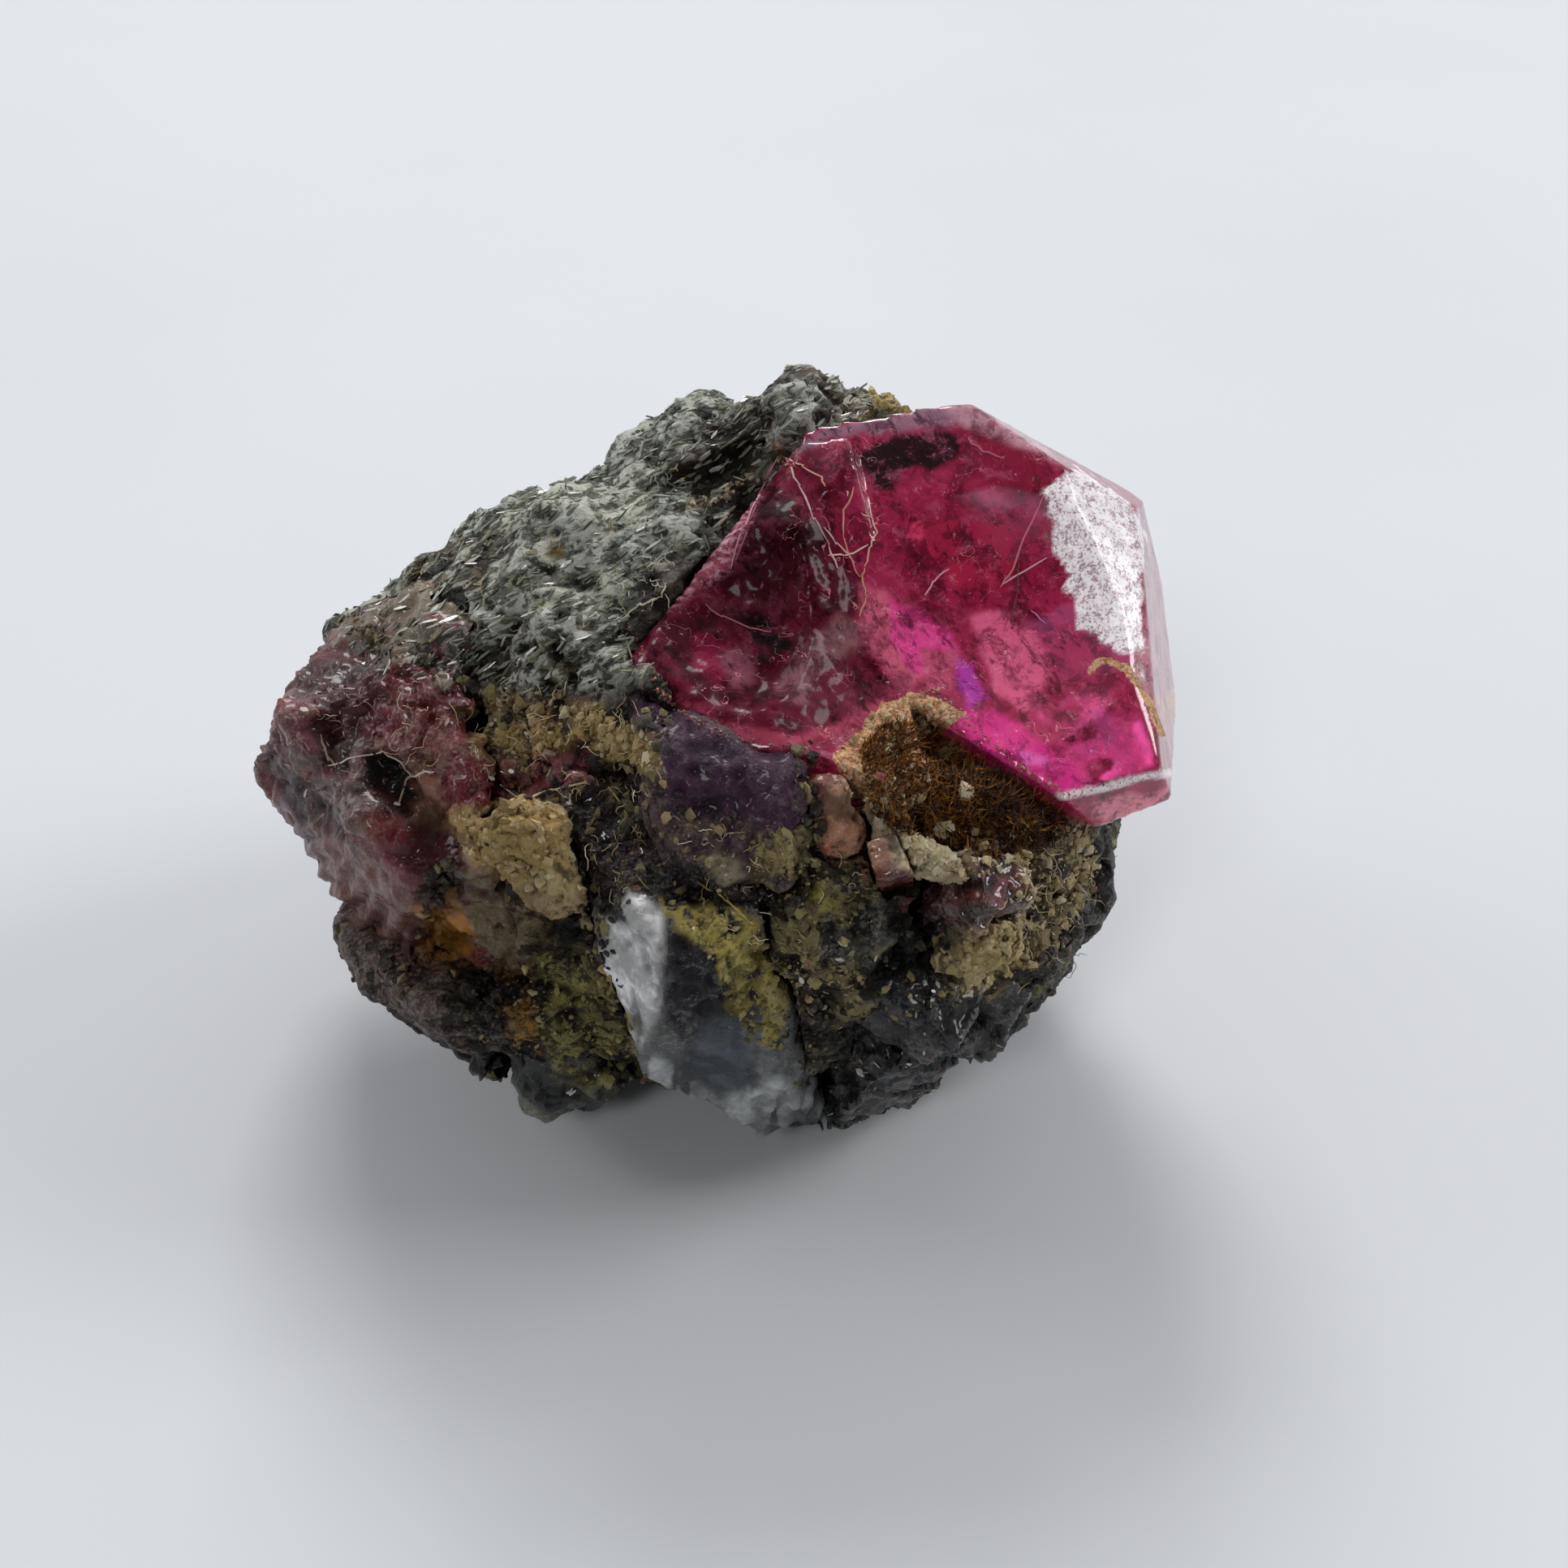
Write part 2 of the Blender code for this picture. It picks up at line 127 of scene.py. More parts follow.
def only(piece):
    """Select one piece alone and make it active, which is what the operators work on."""
    bpy.ops.object.select_all(action="DESELECT")
    piece.select_set(True)
    bpy.context.view_layer.objects.active = piece


def from_solid(node, name):
    """A copy of a solid on the bench, with its doubles merged."""
    piece = bpy.data.objects.new(name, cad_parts[node].data.copy())
    bpy.context.scene.collection.objects.link(piece)
    piece.data.materials.clear()
    piece.data.transform(Matrix.Scale(PER_METRE, 4))
    only(piece)
    bpy.ops.object.mode_set(mode="EDIT")
    bpy.ops.mesh.select_all(action="SELECT")
    bpy.ops.mesh.remove_doubles(threshold=MERGE)
    bpy.ops.mesh.normals_make_consistent(inside=False)
    bpy.ops.object.mode_set(mode="OBJECT")
    return piece


def modify(piece, kind, **settings):
    """Add a modifier, set it up and apply it."""
    only(piece)
    step = piece.modifiers.new(kind.lower(), kind)
    for key, value in settings.items():
        setattr(step, key, value)
    bpy.ops.object.modifier_apply(modifier=step.name)


def sculpt(piece, push):
    """Push each vertex along its normal by push(place, normal) mm, all at once like one brush stroke."""
    mesh = piece.data
    strokes = [(vertex, vertex.normal.copy(), vertex.co.copy()) for vertex in mesh.vertices]
    for vertex, normal, place in strokes:
        vertex.co = place + normal * push(place, normal)
    mesh.update()


def paint(piece, name, value):
    """Store value(place, normal), from 0 to 1, on each vertex as a named mask for the material."""
    layer = piece.data.attributes.new(name, "FLOAT", "POINT")
    numbers = [value(vertex.co, vertex.normal) for vertex in piece.data.vertices]
    layer.data.foreach_set("value", numbers)


def rise(value, low, high):
    """0 below low, 1 above high and a smooth step between."""
    if low == high:
        return 0.0 if value < low else 1.0
    part = min(1.0, max(0.0, (value - low) / (high - low)))
    return part * part * (3.0 - 2.0 * part)


def grain(place, scale, octaves=4):
    """Fractal noise of about -1 to 1, with scale bumps to the millimetre."""
    return noise.fractal(place * scale, 1.0, 2.1, octaves, noise_basis="PERLIN_ORIGINAL")


def finish(piece, node, slot, material, smooth=40.0):
    """Shrink a finished piece to metres and hand it over in place of its solid."""
    piece.data.transform(Matrix.Scale(1 / PER_METRE, 4))
    piece.data.materials.clear()
    piece.data.materials.append(material)
    only(piece)
    bpy.ops.object.shade_smooth_by_angle(angle=math.radians(smooth))
    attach(piece, "root")
    if node:
        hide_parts(node)
    print(f"{piece.name}: {len(piece.data.polygons)} faces")


print("bench scale:", PER_METRE, "units to the metre")

# %% [markdown]
# ## Shader maths that reads like maths
#
# The finishes below are built from masks: "cream where this noise is high and the place is near the pocket".
# Written as nodes and links that is unreadable, so a small class wraps a socket and turns Python's own
# operators into Math nodes. Colours are mixed with Mix nodes, because a Math node would turn them grey.

# %% Sockets that can be added and multiplied
class Value:
    """A number that varies over a surface: the output socket of a node."""

    def __init__(self, maker, socket):
        self.maker = maker
        self.socket = socket

    def __add__(self, other):
        return self.maker.maths("ADD", self, other)

    def __sub__(self, other):
        return self.maker.maths("SUBTRACT", self, other)

    def __rsub__(self, other):
        return self.maker.maths("SUBTRACT", other, self)

    def __mul__(self, other):
        return self.maker.maths("MULTIPLY", self, other)

    __radd__ = __add__
    __rmul__ = __mul__


def color(red, green, blue):
    """A screen colour, 0 to 255, as the linear light that shaders work in."""
    def linear(level):
        part = level / 255
        return part / 12.92 if part <= 0.04045 else ((part + 0.055) / 1.055) ** 2.4
    return (linear(red), linear(green), linear(blue), 1.0)


class Finish:
    """One material while it is being made."""

    def __init__(self, name):
        self.material = bpy.data.materials.new(name)
        self.material.use_nodes = True
        self.tree = self.material.node_tree
        self.tree.nodes.clear()
        where = self.node("ShaderNodeTexCoord", output="Object")
        self.place = self.node("ShaderNodeVectorMath", {"operation": "SCALE"},
                               {0: where, "Scale": PER_METRE})

    def node(self, kind, settings=None, inputs=None, output=0):
        """Any node: its settings first, then the values or links of its sockets."""
        node = self.tree.nodes.new(kind)
        for key, value in (settings or {}).items():
            setattr(node, key, value)
        for key, value in (inputs or {}).items():
            if isinstance(value, Value):
                self.tree.links.new(value.socket, node.inputs[key])
            else:
                node.inputs[key].default_value = value
        return Value(self, node.outputs[output])

    def maths(self, operation, first, second=0.0):
        return self.node("ShaderNodeMath", {"operation": operation}, {0: first, 1: second})

    def noise(self, scale, detail=5.0, rough=0.55, warp=0.0, at=None):
        """Fractal noise, 0 to 1, with scale bumps to the millimetre."""
        return self.node("ShaderNodeTexNoise", {}, {"Vector": at or self.place, "Scale": scale, "Detail": detail,
                                                    "Roughness": rough, "Distortion": warp})

    def cells(self, scale):
        """The distance to the nearest of many points strewn at random, a pattern of irregular cells."""
        return self.node("ShaderNodeTexVoronoi", {"feature": "F1"},
                         {"Vector": self.place, "Scale": scale, "Randomness": 1.0}, "Distance")

    def stretched(self, turn, squeeze):
        """The place, turned and squeezed, so that a pattern on it runs in streaks."""
        turned = self.node("ShaderNodeVectorRotate", {"rotation_type": "EULER_XYZ"},
                           {"Vector": self.place, "Rotation": [math.radians(angle) for angle in turn]})
        return self.node("ShaderNodeVectorMath", {"operation": "MULTIPLY"}, {0: turned, 1: squeeze})

    def mask(self, name):
        """A mask that was painted on the piece."""
        return self.node("ShaderNodeAttribute", {"attribute_name": name}, output="Fac")

    def rise(self, value, low, high):
        """0 below low, 1 above high and a smooth step between."""
        return self.node("ShaderNodeMapRange", {"interpolation_type": "SMOOTHSTEP"},
                         {0: value, 1: low, 2: high, 3: 0.0, 4: 1.0})

    def mix(self, part, first, second, blend="MIX"):
        """The first colour, and the second where part is 1."""
        node = self.tree.nodes.new("ShaderNodeMix")
        node.data_type = "RGBA"
        node.blend_type = blend
        for key, value in ((0, part), (6, first), (7, second)):
            if isinstance(value, Value):
                self.tree.links.new(value.socket, node.inputs[key])
            else:
                node.inputs[key].default_value = value
        return Value(self, node.outputs[2])

    def bump(self, height, distance, strength=1.0):
        """Relief too fine for the mesh; distance is its height in mm."""
        return self.node("ShaderNodeBump", {},
                         {"Height": height, "Distance": distance / PER_METRE, "Strength": strength})

    def shader(self, **inputs):
        """A Principled shader; its sockets are named with _ for a space."""
        return self.node("ShaderNodeBsdfPrincipled", {},
                         {key.replace("_", " "): value for key, value in inputs.items()})

    def done(self, surface, volume=None):
        """Link the shader to the output and return the material."""
        output = self.tree.nodes.new("ShaderNodeOutputMaterial")
        self.tree.links.new(surface.socket, output.inputs["Surface"])
        if volume:
            self.tree.links.new(volume.socket, output.inputs["Volume"])
        return self.material


print("the shader tools are ready")

# %% [markdown]
# ## Where each colour lies
#
# Clay, rust and dust lie in patches that no formula would guess. A patch is drawn once as an outline in the
# photograph's pixels, and a vertex belongs to it when the camera sees the vertex inside the outline and the
# surface faces the camera. Noise makes each border wander, so that nothing looks cut out with scissors.

# %% Patches and lines
def to_segment(u, v, u0, v0, u1, v1):
    """The distance from a point to a straight line between two points, in pixels."""
    du, dv = u1 - u0, v1 - v0
    along = ((u - u0) * du + (v - v0) * dv) / max(1e-9, du * du + dv * dv)
    along = min(1.0, max(0.0, along))
    return math.hypot(u - u0 - along * du, v - v0 - along * dv)


def depth_inside(outline, u, v):
    """How many pixels a point is inside an outline, negative outside."""
    inside = False
    nearest = 1e9
    for (u0, v0), (u1, v1) in zip(outline, outline[1:] + outline[:1]):
        if (v0 > v) != (v1 > v) and u < (u1 - u0) * (v - v0) / (v1 - v0) + u0:
            inside = not inside
        nearest = min(nearest, to_segment(u, v, u0, v0, u1, v1))
    return nearest if inside else -nearest


def facing(place, normal):
    """1 where a surface faces the camera, 0 where it faces away."""
    return rise(normal.dot((EYE - place).normalized()), -0.2, 0.1)


BOXES = {}


def box(outline):
    """An outline's left, right, top and bottom, worked out once."""
    if id(outline) not in BOXES:
        across, down = [p[0] for p in outline], [p[1] for p in outline]
        BOXES[id(outline)] = (min(across), max(across), min(down), max(down), outline)
    return BOXES[id(outline)]


def inside(outline, u, v, soft, wander):
    """1 in an outline, 0 outside, with a border that is soft px wide and moved by wander px."""
    reach = soft + abs(wander)
    left, right, top, bottom, _ = box(outline)
    if not (left - reach < u < right + reach and top - reach < v < bottom + reach):
        return 0.0
    return rise(depth_inside(outline, u, v) + wander, -soft, soft)


def patch(place, normal, outline, soft=14.0, wander=16.0, scale=2.4):
    """1 in an outline of the photograph's pixels and 0 outside it, with a wandering border."""
    seen = facing(place, normal)
    u, v = seen_at(place)
    left, right, top, bottom, _ = box(outline)
    reach = soft + wander
    if seen <= 0.0 or not (left - reach < u < right + reach and top - reach < v < bottom + reach):
        return 0.0
    return inside(outline, u, v, soft, wander * grain(place, scale, 4)) * seen


def patches(outlines, **settings):
    """The same for several outlines, as one mask."""
    return lambda place, normal: max(patch(place, normal, outline, **settings) for outline in outlines)


LINE_MARGIN = 20  # px round a line, past which nothing of it shows
PIXELS_PER_MM = 86  # at the specimen's middle


def line(place, normal, points, width, wander=3.0):
    """1 along a line of the photograph's pixels."""
    u, v = seen_at(place)
    left, right, top, bottom, _ = box(points)
    if not (left - LINE_MARGIN < u < right + LINE_MARGIN and top - LINE_MARGIN < v < bottom + LINE_MARGIN):
        return 0.0
    away = min(to_segment(u, v, *a, *b) for a, b in zip(points, points[1:]))
    away += wander * grain(place, 3.0, 3)
    return (1.0 - rise(away, width * 0.5, width)) * facing(place, normal)


print("a patch of 40 px is about", round(40 / PIXELS_PER_MM, 2), "mm")

# %% [markdown]
# ### Dabs of colour
#
# The specimen's colours run across its pieces: one smear of clay crosses from the red crystal to the rock.
# So the dabs are kept in one list that every opaque piece is painted from. A dab is an outline, a colour,
# and a cover from 0 to 1 that says how much of the surface shows between its frayed crumbs.

# %% The list of dabs
DABS = [
    # the roof: pale green-grey combed mica, a darker crest with a painted glint, a darker band below that is partly
    # painted shade, pale ledges
    ([(606, 640), (691, 580), (768, 560), (835, 555), (812, 616), (772, 647), (775, 701), (742, 755), (667, 762),
      (600, 745), (590, 693)], (206, 206, 188), 0.85),
    ([(830, 561), (923, 496), (1000, 440), (1062, 470), (1062, 515), (954, 540), (884, 592), (822, 616)],
     (98, 78, 66), 0.9),
    # a painted glint on the crest
    ([(961, 465), (1010, 480), (1030, 500), (992, 527), (965, 511)], (186, 186, 178), 0.7),
    ([(497, 693), (606, 645), (598, 693), (606, 739), (582, 770), (497, 759), (443, 747), (428, 716)],
     (150, 134, 106), 0.75),
    # where the roof turns down to the front: dark rock, partly darkened as painted shade
    ([(428, 759), (497, 759), (582, 770), (667, 759), (745, 760), (770, 800), (722, 832), (652, 850), (575, 848),
      (497, 817)], (94, 86, 68), 0.8),
    ([(853, 616), (923, 578), (930, 589), (884, 614), (857, 625)], (200, 186, 156), 0.95),
    ([(764, 664), (803, 652), (799, 676), (768, 683)], (98, 128, 112), 0.8),
    ([(768, 685), (814, 675), (835, 701), (791, 728), (768, 708)], (42, 18, 30), 1.0),
    ([(678, 668), (694, 668), (696, 682), (680, 682)], (190, 146, 60), 0.9),
    ([(1060, 489), (1090, 468), (1140, 490), (1120, 514), (1062, 516)], (204, 186, 116), 0.9),
    # the left: crust on top, wine-red patches with a painted pale glint, a hole painted almost black as its shade,
    # mauve-brown rough face
    ([(425, 723), (502, 705), (512, 776), (492, 824), (425, 805), (412, 776)], (122, 104, 82), 0.75),
    ([(416, 862), (468, 815), (569, 830), (560, 901), (512, 939), (468, 930), (406, 910)], (108, 24, 36), 0.75),
    # a painted glint on the wine-red crystal
    ([(536, 832), (600, 828), (590, 846), (545, 852)], (206, 190, 176), 0.6),
    ([(335, 891), (406, 830), (430, 882), (406, 939), (350, 949)], (118, 60, 70), 0.8),
    ([(345, 930), (454, 910), (468, 987), (435, 1016), (350, 990)], (98, 70, 68), 0.8),
    ([(502, 958), (540, 954), (560, 997), (569, 1026), (540, 1030), (497, 1016), (492, 992)], (150, 98, 78), 0.85),
    ([(536, 915), (617, 945), (630, 987), (598, 1020), (560, 1020), (550, 978)], (116, 22, 40), 0.85),
    ([(440, 1000), (560, 1030), (555, 1062), (516, 1080), (502, 1100), (450, 1050)], (112, 24, 32), 0.8),
    # painted shade: the hole in the wine-red crystal, almost black
    ([(449, 930), (488, 935), (512, 978), (494, 996), (452, 965)], (20, 12, 10), 1.0),
    ([(310, 960), (372, 1015), (435, 1050), (507, 1098), (530, 1190), (500, 1240), (420, 1200), (340, 1090)],
     (124, 82, 74), 1.0),
    ([(329, 985), (350, 990), (385, 1040), (372, 1070), (340, 1030)], (142, 124, 134), 0.8),
    ([(350, 1085), (468, 1165), (526, 1210), (610, 1310), (521, 1300), (400, 1190)], (92, 72, 70), 0.9),
    # below it: clay, an orange patch, olive crust on dark rock
    ([(560, 878), (640, 850), (735, 862), (740, 920), (617, 942), (569, 930)], (126, 92, 54), 0.6),
    ([(600, 900), (700, 880), (720, 905), (640, 930)], (196, 168, 100), 0.4),
    ([(608, 949), (723, 926), (738, 955), (675, 978), (646, 987), (617, 980)], (128, 62, 64), 0.9),
    ([(545, 1000), (600, 1000), (640, 985), (690, 985), (705, 1020), (705, 1060), (680, 1085), (630, 1098),
      (585, 1070)], (190, 156, 94), 0.9),
    ([(652, 1080), (702, 1070), (728, 1112), (730, 1145), (694, 1140), (654, 1104)], (214, 194, 148), 0.95),
    ([(569, 1064), (646, 1093), (690, 1131), (690, 1165), (636, 1190), (579, 1165), (560, 1112)],
     (116, 98, 66), 0.8),
    ([(516, 1064), (564, 1055), (574, 1112), (555, 1120), (518, 1100)], (38, 30, 24), 0.8),
    ([(519, 1126), (560, 1108), (583, 1141), (583, 1179), (550, 1192), (524, 1165)], (198, 132, 44), 0.9),
    ([(536, 1186), (620, 1186), (600, 1216), (560, 1208)], (118, 78, 46), 0.7),
    ([(540, 1210), (646, 1188), (690, 1155), (730, 1160), (650, 1290), (617, 1310), (570, 1280)],
     (44, 37, 31), 0.85),
    ([(617, 1198), (648, 1186), (668, 1285), (656, 1303), (634, 1280), (620, 1246)], (166, 122, 48), 0.75),
    ([(665, 1160), (723, 1168), (775, 1256), (778, 1310), (732, 1345), (684, 1328), (672, 1256)],
     (150, 140, 78), 0.65),
    ([(718, 1296), (768, 1296), (768, 1320), (722, 1320)], (24, 21, 16), 0.9),
    ([(694, 968), (760, 965), (775, 1060), (766, 1145), (730, 1115), (704, 1045)], (36, 27, 26), 0.95),
    ([(715, 884), (742, 873), (812, 916), (820, 952), (780, 952), (742, 932)], (206, 178, 118), 0.85),
    ([(742, 950), (828, 968), (800, 1016), (756, 985)], (112, 90, 70), 0.65),
    # the middle: violet, dust, crust
    ([(800, 870), (896, 903), (990, 917), (985, 970), (1002, 1007), (933, 1030), (854, 1000), (815, 950)],
     (66, 29, 58), 0.9),
    ([(775, 951), (854, 998), (961, 1026), (985, 1110), (905, 1108), (854, 1063), (775, 1058)], (80, 62, 62), 0.8),
    ([(861, 1050), (905, 1070), (912, 1101), (896, 1112), (866, 1075)], (146, 134, 104), 0.8),
    ([(770, 1060), (854, 1052), (890, 1105), (840, 1121), (785, 1104)], (30, 24, 30), 0.9),
    ([(924, 1026), (1000, 1015), (1073, 1073), (1090, 1133), (1027, 1203), (980, 1194), (933, 1110)],
     (140, 126, 82), 0.45),
    ([(930, 1040), (985, 1040), (990, 1065), (940, 1062)], (176, 158, 106), 0.6),
    ([(990, 1080), (1015, 1085), (1025, 1120), (1000, 1115)], (196, 186, 96), 0.7),
    ([(1017, 1133), (1092, 1110), (1120, 1157), (1055, 1217), (1008, 1185)], (78, 78, 74), 0.7),
    ([(817, 1108), (915, 1117), (965, 1185), (965, 1300), (924, 1290), (901, 1250), (877, 1185), (835, 1147)],
     (172, 156, 80), 0.6),
    ([(936, 1241), (975, 1200), (988, 1217), (973, 1252), (946, 1262)], (184, 168, 106), 0.95),
    ([(1020, 1195), (1060, 1190), (1075, 1215), (1045, 1235)], (186, 168, 112), 0.7),
    ([(1022, 961), (1055, 961), (1072, 1017), (1090, 1054), (1064, 1085), (1027, 1045), (1006, 1003)],
     (192, 146, 110), 0.95),
    # round the pocket: pale rim, cream lumps, webs to the right
    ([(1040, 930), (1060, 900), (1085, 866), (1110, 852), (1150, 850), (1185, 872), (1200, 900), (1160, 915),
      (1110, 900), (1075, 940), (1070, 1010), (1100, 1042), (1080, 1040), (1045, 990)], (228, 198, 160), 0.95),
    ([(1108, 1035), (1148, 1005), (1255, 1024), (1255, 1066), (1204, 1084), (1129, 1080), (1108, 1056)],
     (220, 204, 164), 0.9),
    ([(1255, 1031), (1344, 1005), (1358, 1063), (1312, 1160), (1269, 1192), (1236, 1178), (1258, 1110)],
     (198, 180, 132), 0.6),
    ([(1169, 1157), (1204, 1141), (1248, 1145), (1268, 1185), (1218, 1225), (1190, 1225), (1169, 1194)],
     (208, 184, 126), 0.95),
    ([(1130, 1085), (1175, 1080), (1180, 1130), (1130, 1145), (1100, 1120)], (120, 70, 66), 0.6),
]
DABS = [(outline, color(*dab)[:3], cover) for outline, dab, cover in DABS]
print(len(DABS), "dabs of colour")

# %% Paint a piece from the list
def blended(first, second, part):
    """The first colour, and the second where part is 1."""
    return tuple(a + (b - a) * part for a, b in zip(first, second))


def tint_at(place, normal, own, reach=1.0):
    """A place's colour: its piece's own colour, and the dabs over it with frayed borders."""
    tint = own
    seen = facing(place, normal) * reach
    if seen <= 0.0:
        return tint
    u, v = seen_at(place)
    frayed = grain(place, 2.6, 5)
    crumbs = 0.5 + 0.9 * grain(place + Vector((7.0, 3.0, 1.0)), 4.2, 5)
    for outline, dab, cover in DABS:
        part = inside(outline, u, v, 9.0, 16.0 * frayed)
        if part > 0.0:
            tint = blended(tint, dab, part * rise(crumbs, 0.86 - cover, 1.0 - cover) * seen)
    return tint


def keep_tints(mesh, tints):
    """Store one colour for each vertex, as a vector: held as colour attributes, the tints of the wine-red,
    violet and clear crystals render black."""
    layer = mesh.attributes.new("tint", "FLOAT_VECTOR", "POINT")
    layer.data.foreach_set("vector", [level for tint in tints for level in tint])


def paint_tint(piece, own, reach=1.0):
    """Paint the colours on the vertices; own(place, normal) is the piece's own colour."""
    keep_tints(piece.data, [tint_at(vertex.co, vertex.normal, own(vertex.co, vertex.normal), reach)
                            for vertex in piece.data.vertices])


print("colours are painted per vertex, so the mesh is as fine as the smallest smear")

# %% [markdown]
# ## Floor and light
#
# The specimen lies on a plain pale surface. The light is soft and comes from above and behind, so the front
# of the stone stands over its own shadow, and the clear crystals are lit from behind. The room is dark
# behind the camera: a dark stone mirrors that side, and a pale room there would wash its colours out.

# %% Floor, world and lights
bpy.context.scene.view_settings.view_transform = "Standard"
bpy.context.scene.view_settings.look = "None"

bpy.ops.object.select_all(action="DESELECT")
bpy.ops.mesh.primitive_plane_add(size=3.0, location=(0.0, 0.0, cad_low[2]))
floor = bpy.context.active_object
floor.name = "floor"
floor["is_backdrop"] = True
floor_finish = Finish("pale_floor")
haze = floor_finish.noise(0.06, 3.0)
floor_finish_color = floor_finish.mix(haze, color(212, 215, 219), color(220, 222, 225))
floor.data.materials.append(floor_finish.done(floor_finish.shader(
    Base_Color=floor_finish_color, Roughness=0.6, Specular_IOR_Level=0.15)))

world = bpy.data.worlds.new("pale_room")
world.use_nodes = True
room = world.node_tree
look = room.nodes.new("ShaderNodeTexCoord")
split = room.nodes.new("ShaderNodeSeparateXYZ")
room.links.new(look.outputs["Generated"], split.inputs[0])
level = room.nodes.new("ShaderNodeMapRange")
level.inputs["From Min"].default_value = -0.3
level.inputs["From Max"].default_value = 0.8
level.inputs["To Min"].default_value = 0.06
level.inputs["To Max"].default_value = 0.74
room.links.new(split.outputs["Y"], level.inputs["Value"])
room.nodes["Background"].inputs["Color"].default_value = (0.93, 0.95, 1.0, 1.0)
room.links.new(level.outputs["Result"], room.nodes["Background"].inputs["Strength"])
bpy.context.scene.world = world


def soft_light(name, place, aim, size, watts):
    """A square area light; place, aim and size are in millimetres."""
    light = bpy.data.lights.new(name, "AREA")
    light.shape = "SQUARE"
    light.size = size / PER_METRE
    light.energy = watts
    lamp = bpy.data.objects.new(name, light)
    bpy.context.scene.collection.objects.link(lamp)
    lamp.location = Vector(place) / PER_METRE
    lamp.rotation_euler = (Vector(aim) - Vector(place)).to_track_quat("-Z", "Y").to_euler()


soft_light("window_behind", (-54, 312, 276), (0, 0, 3), 150, 0.95)
soft_light("card_right", (110, 20, 80), (4, 0, 6), 46, 0.07)
soft_light("card_left", (-110, 30, 70), (-3, 0, 4), 46, 0.03)
soft_light("fill_front", (-60, -110, 130), (0, 0, 4), 40, 0.055)

# %% [markdown]
# ## The rock
#
# The rock is a mass of dark mica and hornblende. Its upper left is green-grey and combed in one direction,
# where the mica sheets stand on edge, and it is full of small pits. Lower down it is dusted with cream clay
# and yellow-green crust. The solid is remeshed finely, and then brushed: broad lumps, ledges along the
# cleavage, pits, and a fine grain. The finish paints shade into the crevices and a little more pale speckle on
# the ridges, so the depth of each brush stroke is stored too, and the finish reads it.

# %% Brush strokes that leave their depth behind
FLOOR_GAP = 0.002  # mm; nothing goes below the surface that the specimen rests on


def etch(piece, push):
    """Sculpt, and keep each stroke's height as the mask "relief": 0 in a crevice, 1 on a ridge."""
    heights = [push(vertex.co.copy(), vertex.normal.copy()) for vertex in piece.data.vertices]
    normals = [vertex.normal.copy() for vertex in piece.data.vertices]
    for vertex, normal, height in zip(piece.data.vertices, normals, heights):
        vertex.co = vertex.co + normal * height
        if vertex.co.z < FLOOR_GAP:
            vertex.co.z = FLOOR_GAP
    piece.data.update()
    ranked = sorted(heights)
    low, high = ranked[len(ranked) // 20], ranked[-len(ranked) // 20]
    layer = piece.data.attributes.new("relief", "FLOAT", "POINT")
    layer.data.foreach_set("value", [rise(height, low, high) for height in heights])


def remeshed(node, name, voxel, swell=0.0, soften=0):
    """A solid on the bench with an even fine mesh, swollen to fill its seat, its edges worn if asked."""
    piece = from_solid(node, name)
    modify(piece, "REMESH", mode="VOXEL", voxel_size=voxel, use_smooth_shade=True)
    if soften:
        modify(piece, "SMOOTH", factor=0.6, iterations=soften)
    if swell:
        sculpt(piece, lambda place, normal: swell)
    return piece


print("the brushes keep", FLOOR_GAP, "mm above the floor")

# %% Model the rock
rock = remeshed("matrix", "rock", 0.078)
print("the rock starts with", len(rock.data.vertices), "points")
ROOF = [(470, 715), (615, 635), (675, 590), (735, 560), (870, 530), (930, 490), (1010, 430), (1070, 450),
        (1070, 520), (960, 560), (900, 640), (800, 700), (770, 770), (800, 830), (740, 850), (600, 850),
        (470, 830), (410, 770)]
UNDERCUT = [(400, 1080), (480, 1110), (570, 1180), (570, 1270), (470, 1220), (405, 1140)]
COMB = Vector((0.82, 0.38, 0.42)).normalized()  # the way the mica sheets run
SHEET = 0.42  # mm, how thick the ledges are


def combed(place, normal):
    """How much a place belongs to the combed, pitted roof, which goes on over the back."""
    over_back = rise(place.y, -0.5, 1.5) * rise(-place.x, -2.2, 0.0) * rise(normal.z, -0.3, 0.3)
    return max(patch(place, normal, ROOF, soft=20.0), over_back)


def pit(place):
    """1 in the middle of a pit, 0 on the rock between."""
    moved = place + Vector((0.0, 0.0, 0.12 * grain(place, 3.0, 2)))
    distances, centres = noise.voronoi(moved * 2.5)
    size = 0.30 + 0.14 * noise.cell(centres[0] * 7.3)
    return 1.0 - rise(distances[0], size * 0.35, size)


def along_comb(place):
    """A place squeezed along the comb, so that noise on it runs in streaks."""
    return place - COMB * place.dot(COMB) * 0.8


def crumbly(place, scale):
    """Sharp little ridges with hollows between, as on a broken crust."""
    return 1.0 - 2.0 * abs(grain(place, scale, 4))


def rock_relief(place, normal):
    ledge = (place.z * 0.8 + place.x * 0.25 + 0.35 * grain(place, 0.6, 2)) / SHEET
    step = abs((ledge % 1.0) - 0.5) * 2.0
    roof = combed(place, normal)
    lumps = 0.20 * grain(place, 0.9, 3) + 0.05 * (step - 0.5) - 0.04
    streaks = 0.13 * grain(along_comb(place), 3.0, 4) + 0.05 * crumbly(place, 2.6)
    blocks = -0.10 * min(1.0, noise.voronoi(place * 2.2)[0][0] * 1.3) + 0.09 * crumbly(place, 1.9)
    lumps += 0.22 * patch(place, normal, UNDERCUT, soft=30.0)
    return lumps + roof * (streaks - 0.19 * pit(place)) + (1.0 - roof) * (blocks - 0.07 * pit(place))


